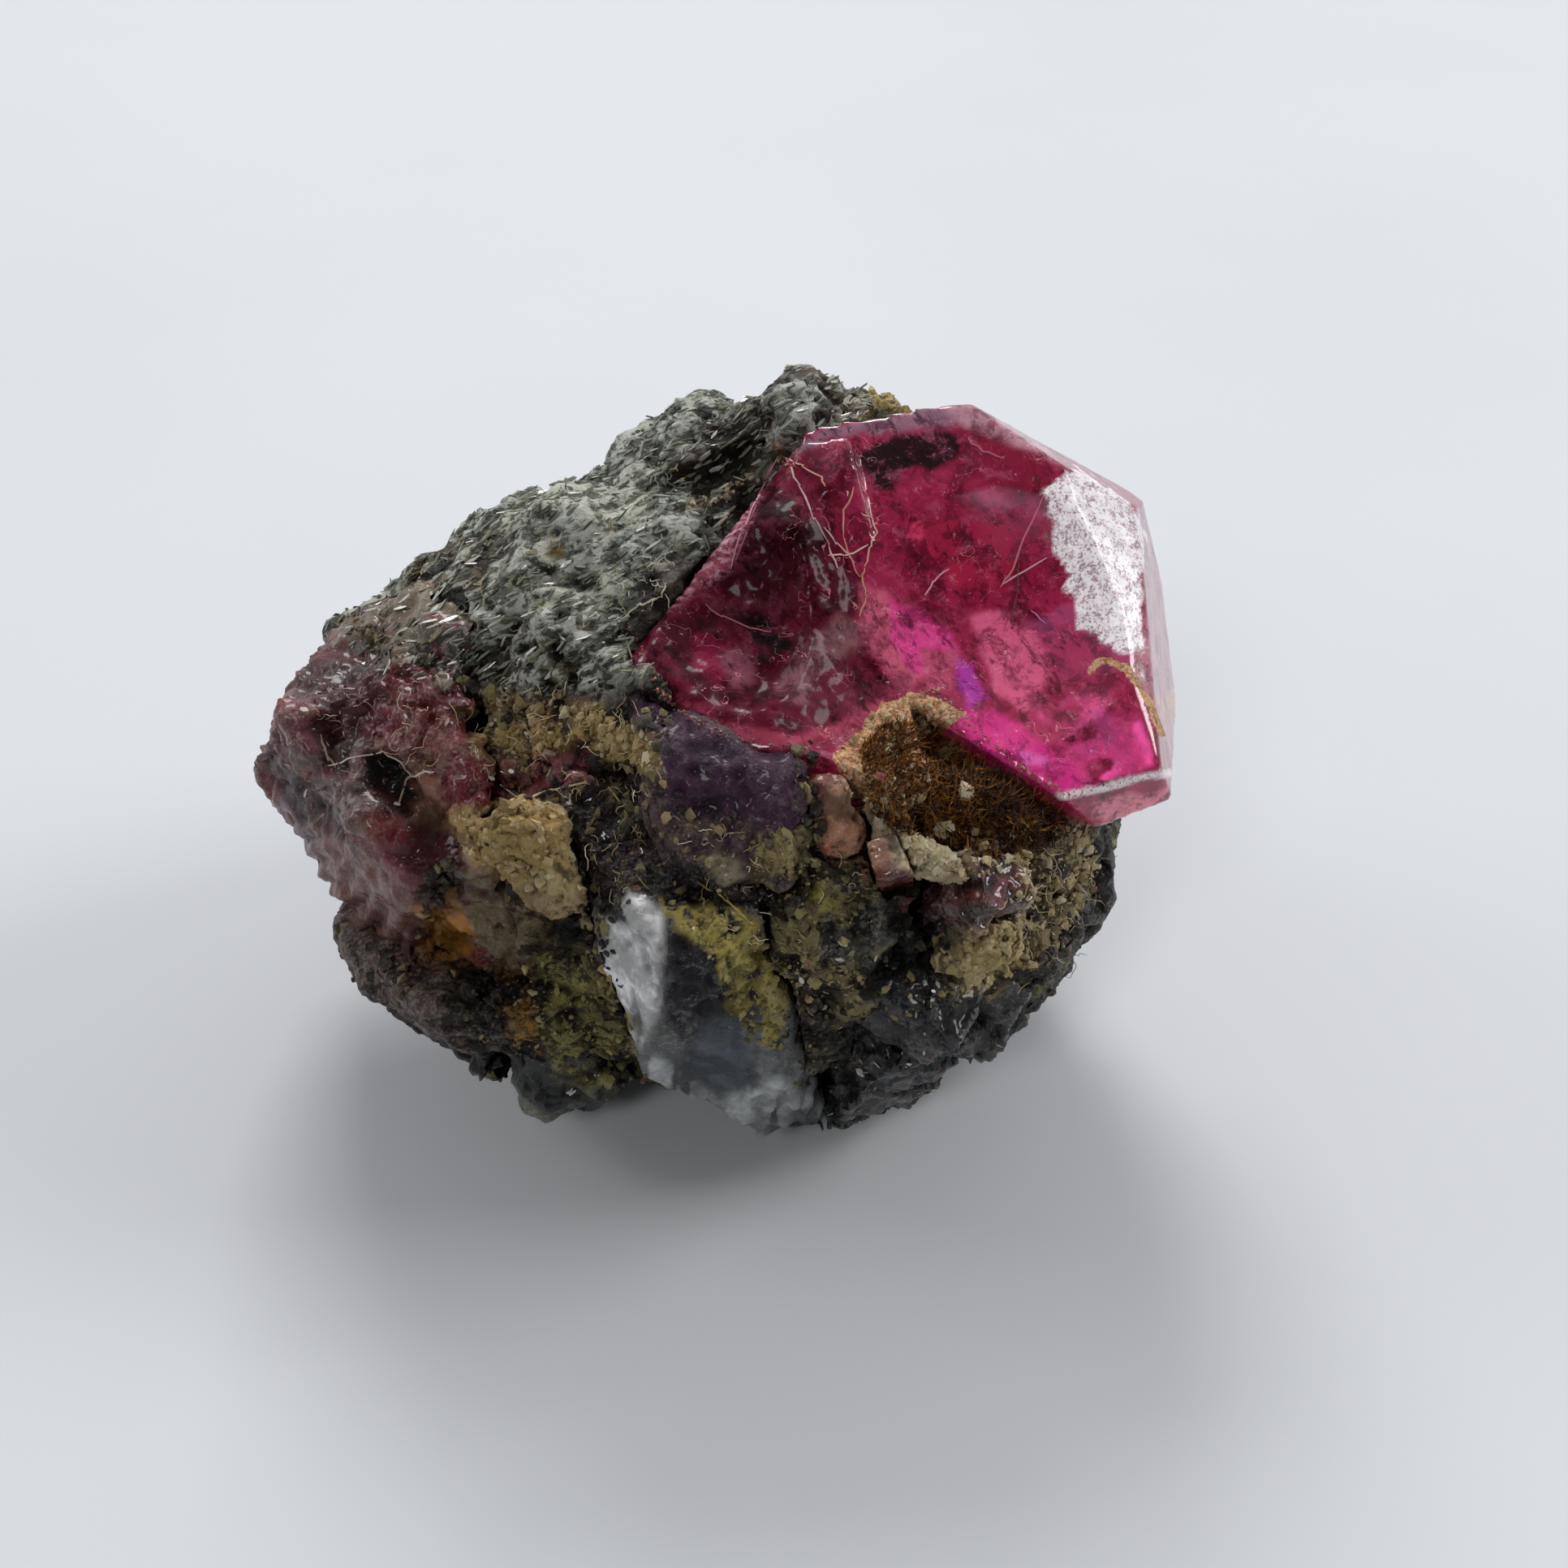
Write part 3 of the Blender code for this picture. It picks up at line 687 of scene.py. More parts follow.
def rock_own_tint(place, normal):
    """Dark rock, with olive, brown and pale patches on the sides that the photograph doesn't show."""
    roof = combed(place, normal)
    stone = blended(color(30, 28, 25)[:3], color(84, 76, 60)[:3], rise(grain(place, 1.3, 4), -0.1, 0.5))
    stone = blended(stone, color(150, 138, 84)[:3], 0.8 * rise(grain(place + COMB * 9, 1.1, 5), 0.28, 0.42))
    stone = blended(stone, color(198, 182, 136)[:3], 0.8 * rise(grain(place - COMB * 7, 1.4, 5), 0.40, 0.52))
    green = blended(color(72, 76, 64)[:3], color(150, 156, 136)[:3], rise(grain(place, 1.7, 4), -0.3, 0.4))
    return blended(stone, green, roof)


etch(rock, rock_relief)
paint_tint(rock, rock_own_tint)
paint(rock, "roof", combed)
print("rock points:", len(rock.data.vertices), "masks:", [a.name for a in rock.data.attributes])

# %% [markdown]
# ### The mineral finish
#
# One recipe covers every opaque surface: the painted colour, with painted shade in the crevices and a
# little more pale speckle on the ridges, broken by a fine speckle. Powder is matt and pale; clean mineral is
# darker and shines. So the roughness follows the colour's own brightness, as it does on the real stone.

# %% The mineral finish
def speckled(f, tint, depth=0.8, speckle=0.5, scale=1.0):
    """The painted colour with painted shade in the crevices, a fine speckle and a little more pale on the ridges."""
    relief = f.mask("relief")
    fine = f.noise(9.0 * scale, 6.0, 0.72)
    dust = f.noise(24.0 * scale, 4.0, 0.7)
    specks = f.cells(15.0 * scale)
    # painted shade: the colour darkens where the relief mask is low, in the crevices
    dark = f.mix(1.0, tint, color(70, 66, 62), "MULTIPLY")
    tint = f.mix(f.rise(0.55 - relief + 0.9 * (fine - 0.5), 0.0, 0.45) * depth, tint, dark)
    pale = f.mix(0.45, tint, color(214, 206, 186))
    tint = f.mix(f.rise(fine * 0.6 + dust * 0.5 + relief * 0.12, 0.62, 0.76) * speckle, tint, pale)
    deep = f.mix(1.0, tint, color(84, 78, 74), "MULTIPLY")
    tint = f.mix(f.rise(0.42 - specks, 0.1, 0.3) * f.rise(dust, 0.5, 0.6) * speckle, tint, deep)
    return tint, fine, dust


def painted(f):
    """The colour that was painted on the piece."""
    return f.node("ShaderNodeAttribute", {"attribute_name": "tint"}, output="Color")


def mineral_finish(name, shine=0.3, matt=0.85, coat=0.0, depth=0.8, speckle=0.5, scale=1.0, relief=0.09,
                   comb=0.0):
    """An opaque mineral: its clean places shine, and its powder is matt."""
    f = Finish(name)
    tint, fine, dust = speckled(f, painted(f), depth, speckle, scale)
    bright = f.node("ShaderNodeRGBToBW", {}, {"Color": tint})
    powder = f.rise(bright, 0.10, 0.42)
    height = fine * 0.65 + dust * 0.35
    if comb:
        comb_way = f.stretched((0, -24, -24), (0.2, 1.0, 1.0))
        streaks = f.noise(7.0, 7.0, 0.72, at=comb_way)
        # pale mica streaks along the comb, partly the mica's own colour and partly painted glints
        pale_mica_and_glint = f.mask("roof") * f.rise(streaks + 0.25 * f.mask("relief"), 0.62, 0.74)
        tint = f.mix(pale_mica_and_glint * comb, tint, color(222, 226, 212))
        # painted shade, nearly black, in the pits where the bump below is low
        pitted = f.noise(4.2, 6.0, 0.7, at=f.stretched((0, -24, -24), (0.55, 1.0, 1.0)))
        tint = f.mix(f.rise(0.47 - pitted, 0.0, 0.05) * 0.85, tint, color(30, 28, 25))
        height = height + streaks * f.mask("roof") * 0.8 + f.rise(pitted, 0.40, 0.50) * 1.2
        powder = powder * (1.0 - 0.75 * f.mask("roof"))
    rough = shine + (matt - shine) * powder + 0.15 * (fine - 0.5)
    normal = f.bump(height, relief, 0.95)
    return f.done(f.shader(Base_Color=tint, Roughness=rough, Normal=normal, IOR=1.5, Coat_Weight=coat,
                           Specular_IOR_Level=0.35, Coat_Roughness=0.1))


ROCK_FINISH = mineral_finish("dark_mica_rock", comb=0.85, depth=0.85, speckle=0.6, relief=0.11)
print("the rock's finish:", len(ROCK_FINISH.node_tree.nodes), "nodes")

# %% [markdown]
# ## The sapphire
#
# The two lobes are one crystal. Its window and its right face are clean growth faces; its left lobe broke
# like glass, in shallow bowls. A crystal this small is never quite flat, so after a fine remesh the faces
# get faint waves, and the broken lobe gets the ripples of a shell-like fracture.

# %% Model the sapphire
sapphire = remeshed("sapphire_crystal", "sapphire", 0.055, swell=0.035)
LEFT_LOBE = [(969, 560), (921, 577), (896, 703), (770, 757), (800, 830), (845, 880), (900, 912), (1000, 920),
             (1060, 898), (1101, 862), (1096, 830), (1052, 771), (1064, 732), (1057, 703), (1032, 655),
             (1025, 601)]
STRIATED = [(770, 757), (838, 712), (877, 690), (921, 577), (950, 570), (921, 645), (896, 703), (848, 735),
            (789, 775)]
SHELL_CENTRES = [Vector((-1.6, -1.0, 8.2)), Vector((1.9, -2.6, 8.0)), Vector((3.4, 0.6, 8.8))]
STRIAE = Vector((0.45, -0.75, 0.35)).normalized()


def shell_ripples(place):
    """Rings round the point where a shell-like break began."""
    total = 0.0
    for centre in SHELL_CENTRES:
        away = (place - centre).length + 0.25 * grain(place, 0.7, 2)
        total += math.sin(away * 6.3) * (1.0 - rise(away, 1.0, 4.0))
    return total


def sapphire_relief(place, normal):
    waves = 0.010 * grain(place, 1.2, 3) - 0.004
    broken = patch(place, normal, LEFT_LOBE, soft=25.0, wander=6.0)
    steps = abs((place.dot(Vector((0.35, -0.2, 0.9))) * 2.1 + 0.5 * grain(place, 0.8, 3)) % 1.0 - 0.5)
    shell = 0.02 * shell_ripples(place) + 0.14 * grain(place, 0.9, 4) - 0.07 * steps - 0.03
    striae = 0.012 * math.sin(place.dot(STRIAE) * 60.0) * patch(place, normal, STRIATED, soft=8.0, wander=4.0)
    return waves + broken * shell + striae


etch(sapphire, sapphire_relief)
print("sapphire points:", len(sapphire.data.vertices))

# %% [markdown]
# ### What hangs inside the crystal
#
# Sapphire from rock is never empty. Healed cracks, dark grains and dusty veils hang in it, and where light
# comes up from pale rock below, it glows magenta: that glow is painted light, bright dabs of colour, with
# small painted highlights among them. Each of these is a dab with a colour and a share: how much of the light
# it scatters back. The rest passes, so the crystal keeps its depth.

# %% Paint the sapphire
GEM_DABS = [
    # left lobe: dark wine, painted shade in its hollows, feathery grey veils
    (LEFT_LOBE, (86, 16, 36), 0.97),
    ([(893, 650), (960, 600), (1020, 660), (1000, 740), (930, 760), (880, 720)], (54, 8, 20), 0.98),
    ([(812, 770), (880, 740), (900, 800), (960, 810), (940, 870), (860, 860)], (60, 5, 20), 0.98),
    ([(870, 740), (960, 735), (990, 700), (1000, 740), (940, 780)], (76, 20, 34), 0.97),
    ([(911, 752), (940, 760), (975, 790), (958, 812), (925, 790)], (24, 2, 8), 1.0),
    ([(985, 690), (1040, 700), (1045, 745), (1000, 770)], (72, 8, 28), 0.96),
    ([(860, 780), (905, 790), (890, 850), (850, 830)], (110, 20, 50), 0.95),
    ([(884, 798), (925, 798), (932, 842), (899, 848)], (108, 56, 70), 0.97),
    ([(955, 849), (989, 801), (1032, 757), (1064, 771), (1056, 801), (1036, 840), (1003, 870), (970, 870)],
     (122, 80, 84), 0.98),
    ([(1000, 840), (1050, 800), (1092, 840), (1090, 870), (1050, 895), (990, 900)], (98, 30, 46), 0.96),
    ([(955, 560), (1020, 590), (1035, 650), (1000, 640), (960, 600)], (118, 36, 56), 0.95),
    (STRIATED, (140, 70, 84), 0.95),
    ([(835, 860), (900, 895), (980, 905), (1050, 885), (1095, 850), (1100, 865), (1050, 905), (960, 922),
      (880, 905)], (156, 62, 84), 0.95),
    # the top: silvery band, dark grain, upper window
    ([(969, 552), (1013, 530), (1071, 511), (1140, 497), (1188, 502), (1176, 523), (1140, 530), (1101, 535),
      (1062, 532), (1018, 543), (979, 560)], (150, 112, 132), 0.85),
    ([(1052, 562), (1101, 536), (1149, 527), (1196, 543), (1186, 566), (1146, 580), (1122, 572), (1098, 608),
      (1080, 606), (1064, 582)], (34, 4, 10), 0.98),
    ([(975, 560), (1052, 548), (1064, 590), (1030, 620), (990, 590)], (112, 10, 40), 0.8),
    ([(1183, 520), (1276, 556), (1310, 600), (1250, 620), (1180, 580)], (140, 14, 52), 0.7),
    # right lobe: red, with magenta glows and small highlights, both painted light
    ([(1060, 610), (1150, 600), (1280, 640), (1310, 700), (1250, 760), (1150, 740), (1080, 700)],
     (168, 32, 72), 0.7),
    ([(1183, 672), (1214, 672), (1216, 705), (1186, 703)], (232, 66, 90), 0.85),
    ([(1118, 632), (1134, 640), (1138, 668), (1122, 664)], (226, 60, 100), 0.85),
    ([(1150, 640), (1240, 640), (1260, 700), (1200, 735), (1140, 700)], (176, 34, 70), 0.8),
    ([(1060, 720), (1100, 740), (1140, 830), (1120, 858), (1090, 830), (1064, 780)], (206, 92, 120), 0.85),
    ([(1096, 740), (1130, 750), (1168, 776), (1178, 803), (1135, 798), (1137, 832), (1120, 822), (1096, 791)],
     (226, 66, 142), 0.92),
    ([(1176, 813), (1200, 818), (1219, 861), (1198, 873), (1181, 846)], (178, 56, 166), 0.9),
    ([(1137, 800), (1176, 806), (1172, 850), (1140, 850)], (196, 78, 112), 0.85),
    ([(1176, 883), (1227, 870), (1295, 909), (1326, 943), (1348, 968), (1310, 978), (1251, 949), (1205, 924)],
     (214, 48, 132), 0.9),
    ([(1250, 920), (1290, 930), (1300, 950), (1262, 944)], (240, 110, 190), 0.95),
    ([(1230, 800), (1340, 760), (1400, 860), (1400, 920), (1340, 960), (1260, 900)], (170, 44, 84), 0.84),
    ([(1196, 760), (1262, 748), (1300, 820), (1262, 880), (1222, 850)], (232, 100, 142), 0.82),
    ([(1365, 917), (1410, 917), (1410, 944), (1378, 960)], (150, 26, 58), 0.8),
    ([(1344, 988), (1393, 976), (1448, 968), (1434, 992), (1368, 1024), (1344, 1008)], (226, 134, 150), 0.9),
    ([(1250, 690), (1262, 690), (1256, 770), (1246, 768)], (110, 10, 40), 0.85),
    ([(1150, 700), (1170, 690), (1160, 735), (1146, 738)], (120, 16, 46), 0.8),
    # bevels: silvery pink, a painted reflection of the light on these faces
    ([(1140, 490), (1188, 494), (1227, 500), (1310, 534), (1395, 580), (1409, 613), (1363, 586), (1320, 572),
      (1276, 555), (1227, 536), (1183, 520)], (196, 146, 160), 0.82),
    ([(1410, 621), (1470, 801), (1470, 859), (1463, 927), (1448, 970), (1432, 908), (1410, 840), (1406, 801),
      (1412, 679)], (190, 128, 144), 0.82),
    ([(1425, 862), (1450, 850), (1455, 890), (1430, 885)], (214, 150, 110), 0.85),
]
LEFT_OWN, RIGHT_OWN = color(110, 16, 48)[:3], color(186, 40, 88)[:3]
OWN_SHARE = 0.55
GEM_DABS = [(outline, color(*dab)[:3], cover) for outline, dab, cover in GEM_DABS]


def paint_gem(piece):
    """Colours and shares of the sapphire's dabs, as two masks on its vertices."""
    tints, shares = [], []
    for vertex in piece.data.vertices:
        place, normal = vertex.co, vertex.normal
        tint = blended(LEFT_OWN, RIGHT_OWN, rise(place.x, 1.2, 2.2))
        share = OWN_SHARE
        seen = facing(place, normal)
        if seen > 0.0:
            u, v = seen_at(place)
            wander = 7.0 * grain(place, 2.8, 4)
            for outline, dab, cover in GEM_DABS:
                part = inside(outline, u, v, 6.0, wander) * seen
                if part > 0.0:
                    tint = blended(tint, dab, part)
                    share += (cover - share) * part
        tints.append(tint)
        shares.append(share)
    keep_tints(piece.data, tints)
    piece.data.attributes.new("share", "FLOAT", "POINT").data.foreach_set("value", shares)


# the etched face, whose white glinting spots in the finish are painted reflection
ETCHED = [(1293, 599), (1315, 577), (1330, 578), (1363, 601), (1400, 624), (1411, 655), (1407, 732),
          (1405, 810), (1368, 805), (1351, 786), (1332, 773), (1320, 739), (1315, 708), (1298, 679),
          (1295, 645), (1286, 616)]
OCHRE_VEIN = [(1344, 826), (1352, 816), (1366, 813), (1388, 823), (1406, 849), (1421, 878), (1431, 904)]
# a bright white line along the rim's edge: a painted highlight
RIM_LINE = [(1305, 982), (1359, 971), (1407, 958), (1455, 950)]
# clay and rust lie over the crystal's foot where the pocket begins
CLAY_FOOT = [(1030, 925), (1060, 900), (1085, 868), (1110, 856), (1150, 858), (1188, 880), (1160, 900),
             (1140, 990), (1080, 1000), (1040, 985)]
paint_gem(sapphire)
paint(sapphire, "etched", lambda place, normal: patch(place, normal, ETCHED, soft=2.0, wander=9.0, scale=5.0))
paint(sapphire, "striated", patches([STRIATED], soft=10.0, wander=6.0))
paint(sapphire, "vein", lambda place, normal: max(line(place, normal, OCHRE_VEIN, 6.0),
                                                  patch(place, normal, CLAY_FOOT, soft=4.0, wander=9.0, scale=4.0)))
paint(sapphire, "polish", lambda place, normal: 1.0 - 0.88 * patch(place, normal, LEFT_LOBE, soft=8.0, wander=4.0))
paint(sapphire, "rim", lambda place, normal: line(place, normal, RIM_LINE, 6.0, 1.0))
print("sapphire masks:", [a.name for a in sapphire.data.attributes])

# %% [markdown]
# ### A clear crystal in three numbers
#
# Transmission 1, the mineral's index of refraction (1.76 for sapphire, 1.54 for quartz) and an absorption
# per millimetre say all there is to say about a clear stone: thin places are pale and thick ones deep.
# The veils, dust and veins inside are mixed in by their masks.

# %% The sapphire's finish
SAPPHIRE_IOR = 1.76
SAPPHIRE_LOSS = (0.05, 0.50, 0.21)  # of red, green and blue, per millimetre


def absorbing(f, red, green, blue):
    """A volume that takes this share of each colour per millimetre, as the natural logarithm counts it."""
    strongest = max(red, green, blue)
    left = (1 - red / strongest, 1 - green / strongest, 1 - blue / strongest, 1.0)
    return f.node("ShaderNodeVolumeAbsorption", {}, {"Color": left, "Density": strongest * PER_METRE})


def crossfade(f, part, first, second):
    """The first shader, and the second where part is 1."""
    return f.node("ShaderNodeMixShader", {}, {0: part, 1: first, 2: second})


def hairs(f, scale, width):
    """Thin wandering lines: where a noise crosses its middle."""
    field = f.noise(scale, 3.0, 0.6, 0.4)
    away = f.node("ShaderNodeMath", {"operation": "ABSOLUTE"}, {0: field - 0.5})
    return 1.0 - f.rise(away, width * 0.4, width)


def sapphire_finish():
    """Clear glass and a faintly self-lit body, crossfaded by each dab's share, under an etched patch with painted
    glints, clay and rust.
    """
    f = Finish("pink_red_sapphire")
    fine = f.noise(9.0, 5.0, 0.65)
    dust = f.noise(30.0, 4.0, 0.7)
    cloud = f.noise(2.4, 9.0, 0.74, 0.5)
    veils = f.noise(3.4, 9.0, 0.78, 0.4, at=f.stretched((25, -40, 40), (1.0, 0.3, 1.0)))
    flaws = f.noise(5.5, 8.0, 0.75, 0.3, at=f.stretched((-30, 20, -35), (1.0, 0.35, 1.0)))
    lines = f.noise(14.0, 3.0, at=f.stretched((0, 35, 20), (0.06, 1.0, 1.0)))
    tint = painted(f)
    deep = f.mix(1.0, tint, color(140, 84, 112), "MULTIPLY")
    tint = f.mix(f.rise(0.5 - cloud, -0.03, 0.09) * 0.75, tint, deep)
    dark = f.mix(1.0, tint, color(104, 60, 84), "MULTIPLY")
    tint = f.mix(f.rise(0.46 - flaws, 0.0, 0.06) * 0.75, tint, dark)
    clean = f.mask("polish") * 0.8 + 0.2
    glow = f.mix(0.32, tint, color(238, 120, 160))
    tint = f.mix(f.rise(veils, 0.51, 0.62) * clean * 0.75, tint, glow)
    # painted highlights where the flaws catch the light
    bright = f.mix(0.5, tint, color(246, 150, 176))
    tint = f.mix(f.rise(flaws, 0.60, 0.66) * clean * 0.6, tint, bright)
    scratches = hairs(f, 2.3, 0.006) * f.rise(f.noise(1.4, 3.0), 0.5, 0.62) * 0.6
    tint = f.mix(scratches, tint, color(226, 150, 160))
    tint = f.mix(f.mask("striated") * f.rise(lines, 0.46, 0.6) * 0.7, tint, color(214, 160, 180))
    tint = f.mix(f.rise(dust + fine, 1.20, 1.32) * clean * 0.7, tint, color(236, 196, 204))
    normal = f.bump(fine * 0.5 + dust * 0.2 + lines * f.mask("striated"), 0.012, 0.5)
    glass = f.shader(Base_Color=color(255, 255, 255), Roughness=0.06, IOR=SAPPHIRE_IOR, Transmission_Weight=1.0,
                     Specular_IOR_Level=0.35, Normal=normal)
    # The body glows faintly by its own emission in its painted colour: a painted glow, as the crystal is no lamp.
    body = f.shader(Base_Color=tint, Roughness=0.4, IOR=SAPPHIRE_IOR, Normal=normal,
                    Coat_Weight=f.mask("polish") * 0.9, Coat_Roughness=0.05, Coat_IOR=1.5,
                    Specular_IOR_Level=0.02, Emission_Color=tint, Emission_Strength=0.16)
    share = f.mask("share") + 0.4 * (cloud - 0.5) * f.mask("polish") + scratches * 0.4
    surface = crossfade(f, f.node("ShaderNodeClamp", {}, {0: share}), glass, body)
    # The etched patch: a rough face with painted white glints in near-white spots, which also glow by their own
    # emission.
    frost_height = f.noise(8.0, 7.0, 0.78)
    painted_sparkle = f.rise(frost_height * 0.55 + dust * 0.45, 0.40, 0.56)
    frost_and_glint_tint = f.mix(painted_sparkle, color(168, 120, 144), color(255, 252, 253))
    frost_and_glint = f.shader(Base_Color=frost_and_glint_tint, Roughness=0.3, Specular_IOR_Level=0.8,
                     Normal=f.bump(frost_height, 0.05, 1.0), Coat_Weight=0.6, Coat_Roughness=0.15,
                     Emission_Color=f.mix(painted_sparkle, color(60, 30, 45), color(200, 194, 198)),
                     Emission_Strength=0.5)
    surface = crossfade(f, f.mask("etched") * f.rise(fine * 0.6 + dust * 0.5, 0.30, 0.36), surface, frost_and_glint)
    clay_tint = f.mix(f.rise(dust * 0.5 + fine * 0.5, 0.4, 0.58), color(150, 88, 56), color(232, 190, 140))
    clay = f.shader(Base_Color=clay_tint, Roughness=0.8, Normal=f.bump(fine, 0.08, 1.0))
    surface = crossfade(f, f.rise(f.mask("vein") + 0.5 * (fine - 0.5), 0.35, 0.6), surface, clay)
    # the rim's bright line is a painted highlight
    white = f.shader(Base_Color=color(255, 246, 248), Roughness=0.2)
    surface = crossfade(f, f.mask("rim") * f.rise(dust, 0.36, 0.5), surface, white)
    return f.done(surface, absorbing(f, *SAPPHIRE_LOSS))


SAPPHIRE_FINISH = sapphire_finish()
print("the sapphire's finish:", len(SAPPHIRE_FINISH.node_tree.nodes), "nodes")

# %% [markdown]
# ## The wine-red crystal on the left
#
# It is the same mineral, but crowded with flaws and dusted over, so hardly any light comes through, and the
# opaque mineral finish suits it better than glass. Its front is broken in coarse steps, its lower left is one
# rough flat face, and its edge there is toothed.

# %% Model the wine-red crystal
wine_crystal = remeshed("left_crystal", "wine_red_crystal", 0.052, swell=0.10, soften=8)
ROUGH_FACE = [(335, 985), (400, 1020), (450, 1050), (520, 1100), (520, 1200), (500, 1250), (430, 1170),
              (370, 1070)]
HOLES = [[(449, 930), (488, 935), (512, 978), (494, 996), (452, 965)],
         [(380, 890), (400, 885), (412, 905), (395, 917)], [(560, 880), (600, 875), (610, 900), (575, 905)],
         [(600, 1010), (620, 1005), (626, 1020), (606, 1026)]]
TOOTH = 34.0  # px from one tooth of the lower left edge to the next


def toothed(place):
    """Teeth along the lower left edge."""
    u, v = seen_at(place)
    away = to_segment(u, v, 350, 1040, 585, 1310)
    wave = abs(((u * 0.66 + v * 0.75) / TOOTH + 0.6 * grain(place, 0.8, 2)) % 1.0 - 0.5) * 2.0
    return wave * (1.0 - rise(away, 20.0, 60.0))


def wine_relief(place, normal):
    distances, _ = noise.voronoi(place * 1.5)
    cracks = rise(distances[1] - distances[0], 0.0, 0.16)
    chunks = 0.30 * grain(place, 0.75, 3) - 0.08 + 0.06 * (cracks - 1.0) + 0.08 * crumbly(place, 1.6)
    steps = 0.09 * (abs((place.dot(Vector((0.5, 0.3, 0.8))) * 2.4 + 0.6 * grain(place, 1.0, 3)) % 1.0 - 0.5) - 0.25)
    fine = 0.045 * grain(place, 4.0, 4)
    calm = patch(place, normal, ROUGH_FACE, soft=25.0)
    hole = max(patch(place, normal, outline, soft=10.0, wander=6.0) for outline in HOLES)
    return (chunks + steps) * (1.0 - 0.7 * calm) + fine - 0.10 * toothed(place) - 0.32 * hole


def wine_own_tint(place, normal):
    stone = blended(color(74, 20, 24)[:3], color(126, 38, 46)[:3], rise(grain(place, 1.4, 4), -0.3, 0.4))
    return blended(stone, color(150, 112, 98)[:3], 0.7 * rise(grain(place + COMB * 5, 1.9, 5), 0.1, 0.4))


etch(wine_crystal, wine_relief)
paint_tint(wine_crystal, wine_own_tint)
WINE_FINISH = mineral_finish("wine_red_corundum", shine=0.25, matt=0.75, coat=0.35, depth=0.6, speckle=0.5)
print("wine-red crystal points:", len(wine_crystal.data.vertices))

# %% [markdown]
# ## The violet, clear and black crystals
#
# The violet crystal is corundum with a grey skin, and opaque too. The clear one is quartz: straight grooves
# run down its faces, and its broken foot sparkles with painted reflections, white and pale grey, streaked
# with dark. Its skin is painted, and light passes where the paint leaves it free. The black one is hornblende,
# which splits along two sets of planes, so its relief is made of flat steps instead of noise.

# %% The violet crystal
violet = remeshed("violet_crystal", "violet_crystal_piece", 0.05, swell=0.12, soften=24)
etch(violet, lambda place, normal: 0.16 * grain(place, 1.0, 3) + 0.07 * crumbly(place, 2.0) - 0.05)
paint_tint(violet, lambda place, normal: blended(color(54, 23, 50)[:3], color(86, 62, 70)[:3],
                                                 rise(grain(place, 1.8, 4), 0.05, 0.4)))
VIOLET_FINISH = mineral_finish("violet_corundum", shine=0.25, matt=0.8, coat=0.2, depth=0.6, speckle=0.25)
print("violet crystal points:", len(violet.data.vertices))

# %% The clear quartz
quartz = remeshed("clear_crystal", "clear_quartz_crystal", 0.045, swell=0.10, soften=5)
GROOVES = Vector((0.95, 0.3, -0.12)).normalized()
GLASSY = [[(740, 1170), (770, 1100), (815, 1120), (822, 1200), (812, 1290), (850, 1330), (924, 1320),
           (1000, 1330), (1000, 1420), (900, 1420), (780, 1340), (740, 1270)],
          [(850, 1250), (930, 1262), (930, 1330), (850, 1330)]]


def quartz_relief(place, normal):
    across = place.dot(GROOVES)
    grooves = 0.03 * (abs((across * 3.6 + 0.3 * grain(place, 0.7, 2)) % 1.0 - 0.5) - 0.25)
    low = 1.0 - rise(place.z, 1.6, 3.0)
    chips = -0.20 * low * min(1.0, noise.voronoi(place * 1.9)[0][0])
    high = rise(place.z, 3.6, 4.6)
    crust = high * (0.10 * crumbly(place, 1.7) - 0.10)
    return grooves * (0.6 + 1.8 * low) + chips + 0.16 * grain(place, 0.8, 3) - 0.04 + crust


# The two pale dabs are painted reflections on the glassy edges; the two darker dabs make its dark middle.
QUARTZ_DABS = [
    ([(735, 1170), (770, 1095), (812, 1112), (817, 1133), (814, 1250), (793, 1300), (740, 1280)],
     (255, 255, 255)),
    ([(775, 1287), (854, 1332), (887, 1350), (961, 1330), (1000, 1357), (930, 1420), (887, 1400), (780, 1340)],
     (214, 218, 218)),
    ([(854, 1245), (924, 1260), (930, 1325), (887, 1350), (850, 1320)], (88, 100, 112)),
    ([(822, 1105), (890, 1105), (905, 1203), (880, 1256), (850, 1300), (820, 1260)], (22, 20, 28)),
]


def quartz_own_tint(place, normal):
    tint = blended(color(96, 100, 102)[:3], color(34, 30, 32)[:3], rise(place.z, 3.6, 4.4))
    across = place.dot(GROOVES)
    # painted reflection: dark streaks along the grooves that break up the pale dabs
    reflection_streaks = rise(grain(Vector((across * 5.0, place.z * 0.5, 0.0)), 1.0, 4), 0.0, 0.35)
    u, v = seen_at(place)
    for outline, dab in QUARTZ_DABS:
        part = inside(outline, u, v, 10.0, 8.0 * grain(place, 2.0, 3)) * facing(place, normal)
        tint = blended(tint, blended(color(*dab)[:3], (0.02, 0.022, 0.026), 0.8 * reflection_streaks), part)
    return tint


etch(quartz, quartz_relief)
paint_tint(quartz, quartz_own_tint)
paint(quartz, "glassy", patches(GLASSY, soft=14.0, wander=12.0))
print("quartz points:", len(quartz.data.vertices))

# %% Quartz under its painted skin
QUARTZ_IOR = 1.54
QUARTZ_LOSS = (0.07, 0.05, 0.04)  # of red, green and blue, per millimetre


